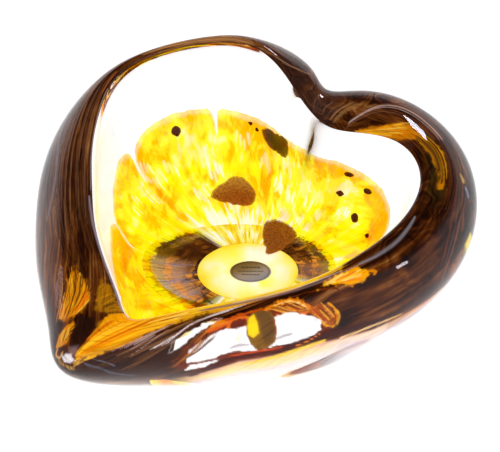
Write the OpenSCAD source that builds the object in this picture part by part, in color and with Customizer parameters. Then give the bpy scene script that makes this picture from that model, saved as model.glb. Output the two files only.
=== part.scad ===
// Heart-shaped art glass bowl, hot-worked in cased layers.
// Units are millimetres. +Z is up, the heart's tip points to -Y and its two
// lobes to +Y. The origin is the middle of the footprint, on the table.
//
// One heavy clear gather carries every other glass layer:
//   clear_body     thick outer gather, from the foot up over the lip
//   foot_disc      ground and polished pale disc the bowl stands on
//   floor_disc     pale straw layer in the middle of the floor
//   base_ring      dark oval ring of colour round the floor disc
//   amber_pool     amber frit layer on the floor and lower inner wall
//   brown_spots    dark chips of colour set in the amber layer
//   brown_lip      brown layer folded over the lip, crest to outer edge
//   amber_trails   amber strands pulled through the brown lip
//   clear_overlay  clear casing over all the colours, smooth to the hand
//   foil_label     small oval foil sticker on the floor of the cavity
//
// All the layers share one sheet, sheet(t, v): t runs round the heart in
// stations, v runs from the middle of the floor, up the inner wall, over the
// crest, across the lip and down the outer wall to the foot.

/* [Size] */
// Plan size, per cent of the normal bowl
plan_size = 100; // [88:1:120]
// Wall and lip height, per cent of the normal bowl
height_size = 100; // [80:1:112]
// Height of the cavity floor above the table
floor_z = 13; // [12:0.5:18]

/* [Foot] */
// Radius of the ground disc the bowl stands on
foot_r = 24; // [16:0.5:26]
// Thickness of the foot disc
foot_t = 3; // [2:0.25:4]
// How far the foot disc stands below the clear body
foot_proud = 0.5; // [0.2:0.1:1]
// Radius where the outer wall meets the underside
base_r = 30; // [29:1:36]

/* [Layers] */
// Thickness of the clear casing over the colours
overlay_t = 1.2; // [0.8:0.1:1.3]
// Thickness of each colour layer
colour_t = 2; // [1:0.1:2.1]
// Half-length of the pale disc inside the dark ring in the floor
disc_l = 22; // [18:0.5:24]
// Half-width of the pale disc
disc_w = 16; // [13:0.5:17]
// Half-length of the dark ring
ring_l = 38; // [34:0.5:42]
// Half-width of the dark ring
ring_w = 24; // [22:0.5:28]
// Direction in which the oval disc and ring are longest
oval_turn = 34; // [0:2:90]
// How far the amber climbs the inner wall, as a fraction of the normal height
amber_climb = 1; // [0.9:0.02:1.1]

/* [Lip] */
// Width of the lip, per cent of the normal lip
lip_size = 100; // [94:1:110]
// Fullness of the outer wall below the lip, per cent
belly_size = 100; // [98:1:104]

/* [Spots and trails] */
// Size of the dark chips, per cent
spot_size = 100; // [60:5:130]
// Width of the amber strands in the lip, per cent
trail_size = 100; // [60:5:120]

/* [Label] */
// Length of the oval label
label_l = 18; // [12:0.5:20]
// Width of the oval label
label_w = 12; // [8:0.5:14]
// Thickness of the label
label_t = 0.2; // [0.1:0.05:0.4]

/* [Hidden] */

// Heart stations, counter-clockwise from the tip.
// [crest x, crest y, crest z,  lip x, lip y, lip z,  belly]
STATIONS = [
  [  4, -87, 65,  -13, -120, 50, 0.84],   // tip
  [ 16, -73, 67,   12,  -98, 47, 0.86],
  [ 29, -60, 68,   31,  -78, 46, 0.94],
  [ 42, -46, 69,   51,  -57, 45, 1.02],
  [ 53, -31, 70,   67,  -35, 45, 1.02],
  [ 59, -14, 70,   79,  -14, 47, 0.97],
  [ 64,   4, 71,   87,    7, 49, 0.96],   // right lobe
  [ 64,  20, 71,   88,   29, 52, 0.98],
  [ 60,  35, 71,   83,   50, 55, 0.98],
  [ 51,  45, 71,   68,   70, 58, 0.98],
  [ 39,  49, 70,   47,   81, 61, 0.98],
  [ 26,  46, 69,   27,   84, 63, 0.98],
  [ 16,  42, 68,    8,   79, 63, 0.98],
  [  8,  42, 67,   -5,   65, 61, 0.84],   // cleft
  [ -4,  47, 68,  -15,   78, 62, 0.80],
  [-17,  55, 71,  -33,   84, 58, 0.78],
  [-32,  62, 73,  -45,   78, 60, 0.84],
  [-48,  62, 74,  -55,   68, 63, 0.93],   // left lobe
  [-61,  50, 75,  -66,   54, 64, 0.96],
  [-72,  36, 75,  -77,   38, 63, 0.97],
  [-78,  20, 75,  -88,   21, 60, 0.93],
  [-76,   4, 75,  -94,    0, 54, 0.89],
  [-67, -14, 74,  -92,  -21, 52, 0.91],
  [-57, -30, 73,  -82,  -42, 52, 0.94],
  [-46, -44, 71,  -68,  -60, 51, 0.98],
  [-34, -58, 70,  -54,  -77, 50, 0.96],
  [-18, -70, 68,  -39,  -91, 50, 0.92],
  [ -5, -79, 66,  -27, -103, 50, 0.88],
];
NS = len(STATIONS);
PER = 3;                    // facets per station
M = NS * PER;               // facets round the heart
SP = plan_size / 100;
SH = height_size / 100;
SL = lip_size / 100;
SB = belly_size / 100;
depth_in = overlay_t + colour_t;

// cubic B-spline weights at fraction f of a span
function bw(f) = [pow(1 - f, 3) / 6, (3 * f * f * f - 6 * f * f + 4) / 6,
                  (-3 * f * f * f + 3 * f * f + 3 * f + 1) / 6, f * f * f / 6];
function wrap(i) = ((i % NS) + NS) % NS;
// one station row at any t, smoothed round the closed heart
function row(t) = let (i = floor(t), w = bw(t - i))
  w[0] * STATIONS[wrap(i - 1)] + w[1] * STATIONS[wrap(i)] +
  w[2] * STATIONS[wrap(i + 1)] + w[3] * STATIONS[wrap(i + 2)];

// control points of the cross-section at one row, floor middle to foot
function section(r) = let (
    c = [r[0], r[1]] * SP,
    lip0 = [r[3], r[4]] * SP,
    o = c + (lip0 - c) * SL,
    zc = r[2] * SH, zo = r[5] * SH,
    w = norm(o - c), ou = (o - c) / w,
    dc = c / norm(c), dol = o / norm(o),
    fl = dc * (norm(c) * 0.35 + 14),
    b = r[6] * SB
  ) [
    [0, 0, floor_z],
    [fl.x * 0.45, fl.y * 0.45, floor_z],
    [fl.x * 0.95, fl.y * 0.95, floor_z],
    [c.x * 0.80, c.y * 0.80, floor_z + 5 * SH],
    [c.x * 0.90, c.y * 0.90, floor_z + 18 * SH],
    [c.x * 0.955, c.y * 0.955, floor_z + 38 * SH],
    [c.x, c.y, zc - 9],
    [c.x - ou.x * 0.5, c.y - ou.y * 0.5, zc + 1.5],
    [c.x + ou.x * w * 0.28, c.y + ou.y * w * 0.28, zc + 1.5],
    [c.x + ou.x * 0.62 * w, c.y + ou.y * 0.62 * w, zc * 0.72 + zo * 0.28 + 3],
    [o.x + ou.x * 1.5, o.y + ou.y * 1.5, zo + 2],
    [o.x * b, o.y * b, zo * 0.55],
    [(dol.x * base_r) * 0.48 + o.x * 0.52, (dol.y * base_r) * 0.48 + o.y * 0.52, zo * 0.11],
    [dol.x * (base_r + 5), dol.y * (base_r + 5), foot_proud + 0.4],
    [dol.x * (base_r - 1), dol.y * (base_r - 1), foot_proud],
  ];
VMAX = 14;
V_CREST = 7;

// open B-spline down the section, end points kept
function pick(q, i) = i < 0 ? 2 * q[0] - q[1] : i > VMAX ? 2 * q[VMAX] - q[VMAX - 1] : q[i];
function on_section(q, v) = let (i = min(floor(v), VMAX - 1), w = bw(v - i))
  w[0] * pick(q, i - 1) + w[1] * pick(q, i) + w[2] * pick(q, i + 1) + w[3] * pick(q, i + 2);
function sheet(t, v) = on_section(section(row(t)), v);
// unit normal out of the glass
function out_of_glass(t, v) = v < 0.05 ? [0, 0, 1] : let (
    e = 0.02,
    du = sheet(t + e, v) - sheet(t - e, v),
    dv = sheet(t, min(v + e, VMAX)) - sheet(t, v - e),
    n = cross(dv, du)
  ) n / norm(n);
// the layers are drawn thin where the glass turns over the crest, most of all
// where the lip is narrow
function narrow(t) = let (r = row(t), w = norm([r[3] - r[0], r[4] - r[1]]) * SP * SL)
  max(0, min(1, 1.3 - w / 12));
function thin(t, v) = let (s = (v - V_CREST - 0.25) / 0.75, q = (v - V_CREST - 0.7) / 1.4)
  (1 - 0.6 * exp(-s * s)) * (1 - 0.55 * narrow(t) * exp(-q * q));
// a point of the sheet, taken d millimetres into the glass
function at_depth(t, v, d) = d == 0 ? sheet(t, v) : sheet(t, v) - out_of_glass(t, v) * d * thin(t, v);

// where the layers begin and end along v, station by station
function floor_reach(t) = let (r = row(t)) norm([r[0], r[1]]) * SP * 0.35 + 14;
function v_at_radius(t, rad) = let (f = floor_reach(t), a = f * 0.45, b = f * 0.95)
  1 + (rad - a) / (b - a);
// reach of an oval with its middle at e = [along, across], towards station t
function oval(t, l, w, e) = let (r = row(t), a = atan2(r.y, r.x) - oval_turn, d = [cos(a), sin(a)],
    p = pow(d.x / l, 2) + pow(d.y / w, 2),
    q = d.x * e.x / (l * l) + d.y * e.y / (w * w),
    k = pow(e.x / l, 2) + pow(e.y / w, 2) - 1)
  SP * (q + sqrt(q * q - p * k)) / p;
function v_ring_in(t) = v_at_radius(t, oval(t, disc_l, disc_w, [-1, -3]));
function v_ring_out(t) = v_at_radius(t, oval(t, ring_l, ring_w, [-3, -1.5]));
// upper edge of the amber, high in the cleft and low on the near wall: [station, v]
AMBER_TOP = [[0, 3.1], [3, 2.8], [8.2, 2.8], [9.3, 4.3], [10, 4.6], [12, 5.1], [13.8, 4.8],
  [15.2, 4.35], [17, 4.3], [19, 4.45], [20.6, 4.3], [22, 4.5], [25.2, 4.6], [26.5, 3.6], [28, 3.1]];
function v_amber(t) = amber_climb * lookup(t, AMBER_TOP);
// outer edge of the brown lip, just past the turn of the edge: [station, v]
LIP_EDGE = [[0, 10.2], [2.5, 9.9], [5, 10.1], [7, 10.3], [9, 10], [12, 9.9], [14, 9.8], [16, 9.3],
  [18, 8.9], [20, 9], [22, 9.8], [24, 10.2], [28, 10.2]];
function v_lip(t) = lookup(t, LIP_EDGE);

// one ring: [place in the order of the sheet, points], at every facet station a
// part-way point between two layer edges; the place keeps both sides of a
// shared face split along the same diagonals
// edge numbers: 0 middle, 1 ring inside, 2 ring outside, 3 amber top, 4 crest, 5 lip edge, 6 foot
function edge(t, k) = k == 0 ? 0 : k == 1 ? v_ring_in(t) : k == 2 ? v_ring_out(t) :
  k == 3 ? v_amber(t) : k == 4 ? V_CREST : k == 5 ? v_lip(t) : VMAX;
function ring(k, f, d) = [k + f + d / 1000, [for (j = [0 : M - 1]) let (
  t = j / PER, a = edge(t, k), b = edge(t, k + 1)) at_depth(t, a + (b - a) * f, d)]];
// rings from edge a to edge b at depth d, n[k] steps in each band, both ends kept
STEPS = [2, 1, 4, 4, 7, 7];
// (the middle of the floor is a single pole point, not a ring)
function rings_up(a, b, d) = [for (k = [a : b - 1]) for (i = [0 : STEPS[k] - 1])
  if (!(k == 0 && i == 0)) ring(k, i / STEPS[k], d), ring(b - 1, 1, d)];
function rings_down(a, b, d) = let (r = rings_up(a, b, d)) [for (i = [len(r) - 1 : -1 : 0]) r[i]];

// footprint middle, so that the origin is the middle of the box on the table
EDGE_RINGS = [for (i = [0 : 5]) for (p = ring(5, i / STEPS[5], 0)[1]) p,
              for (i = [4 : 6]) for (p = ring(4, i / STEPS[4], 0)[1]) p];
XS = [for (p = EDGE_RINGS) p.x];
YS = [for (p = EDGE_RINGS) p.y];
MID = [(min(XS) + max(XS)) / 2, (min(YS) + max(YS)) / 2, 0];

// a closed skin from a chain of rings; wrapped=true joins the last to the first,
// otherwise each end is closed to a single pole point
module skin(rs, wrapped, pole_a = [0, 0, 0], pole_b = [0, 0, 0]) {
  n = len(rs);
  pts = [for (r = rs) for (p = r[1]) p, if (!wrapped) pole_a, if (!wrapped) pole_b];
  last = wrapped ? n - 1 : n - 2;
  quads = [for (i = [0 : last]) for (j = [0 : M - 1]) let (
      a = i * M + j, b = i * M + (j + 1) % M,
      k = (i + 1) % n, c = k * M + (j + 1) % M, e = k * M + j)
    each (rs[i][0] < rs[k][0] ? [[a, b, c], [a, c, e]] : [[a, b, e], [b, c, e]])];
  caps = wrapped ? [] : concat(
    [for (j = [0 : M - 1]) [n * M, (j + 1) % M, j]],
    [for (j = [0 : M - 1]) [n * M + 1, (n - 1) * M + j, (n - 1) * M + (j + 1) % M]]);
  translate(-MID) polyhedron(points = pts, faces = concat(quads, caps), convexity = 8);
}

function flat_ring(r, z, place) = let (rr = r / cos(4)) [place, [for (j = [0 : M - 1]) let (
    p = sheet(j / PER, VMAX), a = atan2(p.y, p.x)) [rr * cos(a), rr * sin(a), z]]];

// thick outer gather with a seat for the foot disc
module clear_body() color([0.93, 0.92, 0.95, 0.35])
  skin(concat(
      rings_up(0, 5, depth_in),
      [ring(4, 1, overlay_t)],
      rings_up(5, 6, 0),
      [flat_ring(foot_r + 0.05, foot_proud, 8), flat_ring(foot_r + 0.05, foot_t, 9)]),
    false, [0, 0, floor_z - depth_in], [0, 0, foot_t]);

// ground disc under the bowl
module foot_disc() color([0.98, 0.93, 0.45, 0.8])
  translate(-MID) cylinder(r = foot_r, h = foot_t, $fn = 96);

// a colour layer between two layer edges
module band(a, b) skin(concat(rings_up(a, b, overlay_t), rings_down(a, b, depth_in)), true);

// pale straw middle of the floor
module floor_disc() color([0.99, 0.96, 0.5, 0.9])
  skin(concat(rings_up(0, 1, overlay_t), rings_down(0, 1, depth_in)),
    false, [0, 0, floor_z - overlay_t], [0, 0, floor_z - depth_in]);

module base_ring() color([0.35, 0.18, 0.06, 0.95]) band(1, 2);

// dark chips, irregular flakes: [station, v, radius]
SPOTS = [
  [18.9, 3.95, 2.2], [15.35, 4.05, 5.2], [16.6, 4.05, 1.2], [16.2, 3.9, 1.2],
  [11.2, 4.7, 2.4], [11.35, 4.1, 2.0], [10.3, 4.35, 2.0], [10.35, 3.4, 2.2],
  [9.35, 3.1, 1.4], [13.15, 4.55, 1.6],
];
module spot_cutters() for (s = SPOTS) let (
    p = sheet(s[0], s[1]) - MID, n = out_of_glass(s[0], s[1]),
    tilt = acos(n.z), turn = atan2(n.y, n.x), r = s[2] * spot_size / 100)
  translate(p - n * (depth_in + 1.5)) rotate([0, tilt, turn]) scale([1, 0.75, 1])
    cylinder(r = r, h = depth_in + 1.5, $fn = 9);

module amber_pool() color([0.99, 0.85, 0.08, 0.9])
  difference() { band(2, 3); spot_cutters(); }

module brown_spots() color([0.36, 0.17, 0.04])
  intersection() { band(2, 3); spot_cutters(); }

// amber strands in the lip: [station, v, length, width, turn]
TRAILS = [
  [26.6, 8.7, 22, 5, 112], [27.3, 9.1, 20, 4, 92], [0.3, 9.2, 22, 5, 52],
  [0.9, 8.4, 26, 6, 50], [2.0, 9.5, 26, 4, 48],
  [10.6, 7.9, 24, 5, 14], [9.3, 8.5, 24, 6, -40], [8.0, 8.6, 20, 5, -78],
];
module trail_cutters() for (s = TRAILS) let (p = sheet(s[0], s[1]) - MID)
  translate([p.x, p.y, 30]) rotate(s[4]) linear_extrude(70)
    polygon([for (a = [0 : 15 : 345]) [s[2] / 2 * cos(a), s[3] / 2 * trail_size / 100 * sin(a)]]);

module brown_lip() color([0.27, 0.13, 0.05])
  difference() { band(4, 5); trail_cutters(); }

module amber_trails() color([0.9, 0.55, 0.05])
  intersection() { band(4, 5); trail_cutters(); }

// clear casing: thin over the colours, full depth where there is none
module clear_overlay() color([0.97, 0.96, 0.98, 0.3])
  skin(concat(
      rings_up(0, 5, 0),
      rings_down(4, 5, overlay_t),
      rings_down(3, 4, depth_in),
      rings_down(0, 3, overlay_t)),
    false, [0, 0, floor_z], [0, 0, floor_z - overlay_t]);

module foil_label() color([0.75, 0.65, 0.55])
  translate([3 - MID.x, -4 - MID.y, floor_z]) rotate(oval_turn)
    linear_extrude(label_t) scale([label_l / 2, label_w / 2]) circle(r = 1, $fn = 64);

clear_body();
foot_disc();
floor_disc();
base_ring();
amber_pool();
brown_spots();
brown_lip();
amber_trails();
clear_overlay();
foil_label();
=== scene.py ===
import math
import bpy
import numpy as np
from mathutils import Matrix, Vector


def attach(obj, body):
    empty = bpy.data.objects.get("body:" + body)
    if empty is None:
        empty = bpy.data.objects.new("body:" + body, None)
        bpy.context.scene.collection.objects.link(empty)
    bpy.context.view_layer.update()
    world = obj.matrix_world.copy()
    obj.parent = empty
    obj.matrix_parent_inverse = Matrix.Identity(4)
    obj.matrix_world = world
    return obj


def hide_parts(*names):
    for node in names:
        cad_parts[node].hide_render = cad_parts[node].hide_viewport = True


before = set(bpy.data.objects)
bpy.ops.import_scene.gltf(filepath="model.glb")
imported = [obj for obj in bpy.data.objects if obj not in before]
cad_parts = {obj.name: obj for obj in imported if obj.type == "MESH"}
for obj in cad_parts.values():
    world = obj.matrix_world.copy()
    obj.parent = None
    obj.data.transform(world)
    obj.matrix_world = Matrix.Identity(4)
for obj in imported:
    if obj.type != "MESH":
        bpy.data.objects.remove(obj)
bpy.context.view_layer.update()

# ---------------------------------------------------------------- the sheet
# Heart stations, counter-clockwise from the tip, in millimetres:
# crest x, y, z,  lip x, y, z,  belly
STATIONS = np.array([
    [4, -87, 65, -13, -120, 50, 0.84],
    [16, -73, 67, 12, -98, 47, 0.86],
    [29, -60, 68, 31, -78, 46, 0.94],
    [42, -46, 69, 51, -57, 45, 1.02],
    [53, -31, 70, 67, -35, 45, 1.02],
    [59, -14, 70, 79, -14, 47, 0.97],
    [64, 4, 71, 87, 7, 49, 0.96],
    [64, 20, 71, 88, 29, 52, 0.98],
    [60, 35, 71, 83, 50, 55, 0.98],
    [51, 45, 71, 68, 70, 58, 0.98],
    [39, 49, 70, 47, 81, 61, 0.98],
    [26, 46, 69, 27, 84, 63, 0.98],
    [16, 42, 68, 8, 79, 63, 0.98],
    [8, 42, 67, -5, 65, 61, 0.84],
    [-4, 47, 68, -15, 78, 62, 0.80],
    [-17, 55, 71, -33, 84, 58, 0.78],
    [-32, 62, 73, -45, 78, 60, 0.84],
    [-48, 62, 74, -55, 68, 63, 0.93],
    [-61, 50, 75, -66, 54, 64, 0.96],
    [-72, 36, 75, -77, 38, 63, 0.97],
    [-78, 20, 75, -88, 21, 60, 0.93],
    [-76, 4, 75, -94, 0, 54, 0.89],
    [-67, -14, 74, -92, -21, 52, 0.91],
    [-57, -30, 73, -82, -42, 52, 0.94],
    [-46, -44, 71, -68, -60, 51, 0.98],
    [-34, -58, 70, -54, -77, 50, 0.96],
    [-18, -70, 68, -39, -91, 50, 0.92],
    [-5, -79, 66, -27, -103, 50, 0.88],
], float)
NS = len(STATIONS)
FLOOR_Z = 13.0
FOOT_R = 24.0
FOOT_PROUD = 0.5
BASE_R = 30.0
SHIFT = np.array([2.07, 13.86, 0.0])      # footprint middle to the origin
VMAX = 14


def weights(f):
    return [(1 - f) ** 3 / 6, (3 * f ** 3 - 6 * f ** 2 + 4) / 6,
            (-3 * f ** 3 + 3 * f ** 2 + 3 * f + 1) / 6, f ** 3 / 6]


def rows(t):
    """Station rows at any t (array), smoothed round the closed heart."""
    t = np.asarray(t, float)
    i = np.floor(t).astype(int)
    w = weights((t - i)[..., None])
    return sum(w[k] * STATIONS[(i - 1 + k) % NS] for k in range(4))


def section(r):
    """Control points of the cross-section at each row: (15, ..., 3)."""
    c, o = r[..., 0:2], r[..., 3:5]
    zc, zo, b = r[..., 2:3], r[..., 5:6], r[..., 6:7]
    w = np.linalg.norm(o - c, axis=-1, keepdims=True)
    ou = (o - c) / w
    nc = np.linalg.norm(c, axis=-1, keepdims=True)
    dc = c / nc
    dol = o / np.linalg.norm(o, axis=-1, keepdims=True)
    fl = dc * (nc * 0.35 + 14)
    one = np.ones_like(zc)
    q = [
        (c * 0, FLOOR_Z * one), (fl * 0.45, FLOOR_Z * one), (fl * 0.95, FLOOR_Z * one),
        (c * 0.80, (FLOOR_Z + 5) * one), (c * 0.90, (FLOOR_Z + 18) * one),
        (c * 0.955, (FLOOR_Z + 38) * one), (c, zc - 9), (c - ou * 0.5, zc + 1.5),
        (c + ou * w * 0.28, zc + 1.5), (c + ou * 0.62 * w, zc * 0.72 + zo * 0.28 + 3),
        (o + ou * 1.5, zo + 2), (o * b, zo * 0.55),
        (dol * BASE_R * 0.48 + o * 0.52, zo * 0.11),
        (dol * (BASE_R + 5), (FOOT_PROUD + 0.4) * one), (dol * (BASE_R - 1), FOOT_PROUD * one),
    ]
    return np.array([np.concatenate([p, z], -1) for p, z in q])


def sheet(t, v):
    """Point of the sheet in millimetres, t and v arrays of one shape."""
    t, v = np.broadcast_arrays(np.asarray(t, float), np.asarray(v, float))
    q = section(rows(t))
    q = np.concatenate([[2 * q[0] - q[1]], q, [2 * q[-1] - q[-2]]])
    i = np.minimum(np.floor(v).astype(int), VMAX - 1)
    w = weights((v - i)[..., None])
    out = 0
    for k in range(4):
        out = out + w[k] * np.take_along_axis(q, (i + k)[None, ..., None], 0)[0]
    return out


def normal(t, v):
    """Unit normal out of the glass."""
    t, v = np.broadcast_arrays(np.asarray(t, float), np.asarray(v, float))
    e = 0.02
    v0 = np.maximum(v, 0.06)
    du = sheet(t + e, v0) - sheet(t - e, v0)
    dv = sheet(t, np.minimum(v0 + e, VMAX)) - sheet(t, v0 - e)
    n = np.cross(dv, du)
    return n / np.maximum(np.linalg.norm(n, axis=-1, keepdims=True), 1e-9)


def thin(t, v):
    """The layers are drawn thin over the crest, most of all where the lip is narrow."""
    r = rows(t)
    narrow = np.clip(1.3 - np.linalg.norm(r[..., 3:5] - r[..., 0:2], axis=-1) / 12, 0, 1)
    return (1 - 0.6 * np.exp(-((v - 7.25) / 0.75) ** 2)) * (1 - 0.55 * narrow * np.exp(-((v - 7.7) / 1.4) ** 2))


def at_depth(t, v, d):
    """Point of the sheet taken d millimetres into the glass, in metres, in the row frame."""
    t, v = np.broadcast_arrays(np.asarray(t, float), np.asarray(v, float))
    return (sheet(t, v) - normal(t, v) * (d * thin(t, v))[..., None] + SHIFT) * 0.001


def knots(t, table):
    """Straight lines between listed knots [t, value], closed at NS."""
    a = np.array(table, float)
    return np.interp(np.asarray(t, float) % NS, a[:, 0], a[:, 1])


def v_at_radius(t, rad):
    r = rows(t)
    f = np.linalg.norm(r[..., 0:2], axis=-1) * 0.35 + 14
    return 1 + (rad - f * 0.45) / (f * 0.5)


def oval(t, l, w, ex, ey):
    """Reach of an oval (half sizes l, w, turned 34 degrees, middle at ex, ey) towards station t."""
    r = rows(t)
    a = np.arctan2(r[..., 1], r[..., 0]) - math.radians(34)
    dx, dy = np.cos(a), np.sin(a)
    p = (dx / l) ** 2 + (dy / w) ** 2
    q = dx * ex / l ** 2 + dy * ey / w ** 2
    k = (ex / l) ** 2 + (ey / w) ** 2 - 1
    return (q + np.sqrt(q * q - p * k)) / p


# -------------------------------------------------------------------- noise
def _hash(i, j, k, seed):
    n = (i * 73856093) ^ (j * 19349663) ^ (k * 83492791) ^ (seed * 2654435761)
    n = (n ^ (n >> 13)) & 0x7FFFFFFF
    n = (n * 1274126177) & 0x7FFFFFFF
    n = n ^ (n >> 15)
    return (n & 0xFFFF) / 32767.5 - 1


def noise3(p, seed=0):
    """Smooth value noise, -1 to 1, for points (..., 3)."""
    i = np.floor(p).astype(np.int64)
    f = p - i
    f = f * f * (3 - 2 * f)
    out = 0
    for a in (0, 1):
        for b in (0, 1):
            for c in (0, 1):
                w = ((f[..., 0] if a else 1 - f[..., 0]) * (f[..., 1] if b else 1 - f[..., 1])
                     * (f[..., 2] if c else 1 - f[..., 2]))
                out = out + w * _hash(i[..., 0] + a, i[..., 1] + b, i[..., 2] + c, seed)
    return out


def fbm(p, seed=0, octaves=4, gain=0.5):
    out, amp, tot = 0, 1.0, 0.0
    for o in range(octaves):
        out = out + amp * noise3(p * 2 ** o + 17.3 * o, seed + o)
        tot += amp
        amp *= gain
    return out / tot


def smooth(a, b, x):
    s = np.clip((x - a) / (b - a), 0, 1)
    return s * s * (3 - 2 * s)


# ------------------------------------------------------------- mesh helpers
def new_mesh(name, verts, quads, tris=None, uv=None, attrs=None):
    """Object from numpy arrays. uv and attrs are per vertex; attrs maps name to (n,) or (n, 3)."""
    me = bpy.data.meshes.new(name)
    nq, nt_ = len(quads), 0 if tris is None else len(tris)
    loops = quads.ravel() if nt_ == 0 else np.concatenate([quads.ravel(), np.asarray(tris).ravel()])
    start = np.concatenate([np.arange(nq) * 4, nq * 4 + np.arange(nt_) * 3])
    me.vertices.add(len(verts))
    me.vertices.foreach_set("co", np.asarray(verts, np.float32).ravel())
    me.loops.add(len(loops))
    me.loops.foreach_set("vertex_index", loops.astype(np.int32))
    me.polygons.add(nq + nt_)
    me.polygons.foreach_set("loop_start", start.astype(np.int32))
    me.update(calc_edges=True)
    me.polygons.foreach_set("use_smooth", np.ones(nq + nt_, bool))
    if uv is not None:
        layer = me.uv_layers.new(name="UVMap")
        layer.data.foreach_set("uv", np.asarray(uv, np.float32)[loops].ravel())
    for key, val in (attrs or {}).items():
        val = np.asarray(val, np.float32)
        kind = "FLOAT" if val.ndim == 1 else "FLOAT_VECTOR"
        at = me.attributes.new(key, kind, "POINT")
        at.data.foreach_set("value" if kind == "FLOAT" else "vector", val.ravel())
    me.update()
    ob = bpy.data.objects.new(name, me)
    bpy.context.scene.collection.objects.link(ob)
    return ob


def grid_quads(n, m, wrap_rows):
    """Quads of an n by m grid of vertices, closed round the columns."""
    i = np.arange(n if wrap_rows else n - 1)[:, None]
    j = np.arange(m)[None, :]
    k, q = (i + 1) % n, (j + 1) % m
    return np.stack([i * m + j + 0 * q, k * m + j + 0 * q, k * m + q, i * m + q], -1).reshape(-1, 4)


def closed_skin(name, pts, uv, attrs=None, poles=None, wrap_rows=False):
    """Closed skin from rings pts (n, m, 3). poles = (first, last) points close its two ends."""
    n, m = pts.shape[:2]
    verts = pts.reshape(-1, 3)
    uvs = uv.reshape(-1, 2)
    attrs = {k: v.reshape((n * m,) + v.shape[2:]) for k, v in (attrs or {}).items()}
    quads = grid_quads(n, m, wrap_rows)
    tris = None
    if poles is not None:
        j = np.arange(m)
        q = (j + 1) % m
        c = n * m
        tris = np.concatenate([np.stack([c + 0 * j, j, q], 1),
                               np.stack([c + 1 + 0 * j, (n - 1) * m + q, (n - 1) * m + j], 1)])
        verts = np.concatenate([verts, np.array(poles)])
        uvs = np.concatenate([uvs, [[0.5, 0.0], [0.5, 1.0]]])
        for k, v in attrs.items():
            attrs[k] = np.concatenate([v, v[0:1], v[-1:]])
    return new_mesh(name, verts, quads, tris, uvs, attrs)


# ---------------------------------------------------------------- the glass
M = 336
MID = SHIFT * 0.001


def build_glass():
    t = np.arange(M) / M * NS
    vs = np.concatenate([np.arange(0.15, 6.0, 0.15), np.arange(6.0, 11.0, 0.1), np.arange(11.0, 14.001, 0.15)])
    pts = at_depth(t[None, :], vs[:, None], 0.0)
    p = pts[-1]
    ang = np.arctan2(p[:, 1] - MID[1], p[:, 0] - MID[0])
    foot = [np.stack([MID[0] + r * 0.001 * np.cos(ang), MID[1] + r * 0.001 * np.sin(ang), np.full(M, z * 0.001)], 1)
            for r, z in ((26.5, 0.5), (24.6, 0.46), (24.1, 0.36), (23.8, 0.12), (23.4, 0.02), (22.5, 0.0), (12.0, 0.0))]
    pts = np.concatenate([pts, np.array(foot)])
    uv = np.stack(np.broadcast_arrays(t[None, :] / NS, np.linspace(0, 1, len(pts))[:, None]), -1)
    top = MID + [0, 0, FLOOR_Z * 0.001]
    return closed_skin("bowl_glass", pts, uv, poles=(top, MID))


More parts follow.
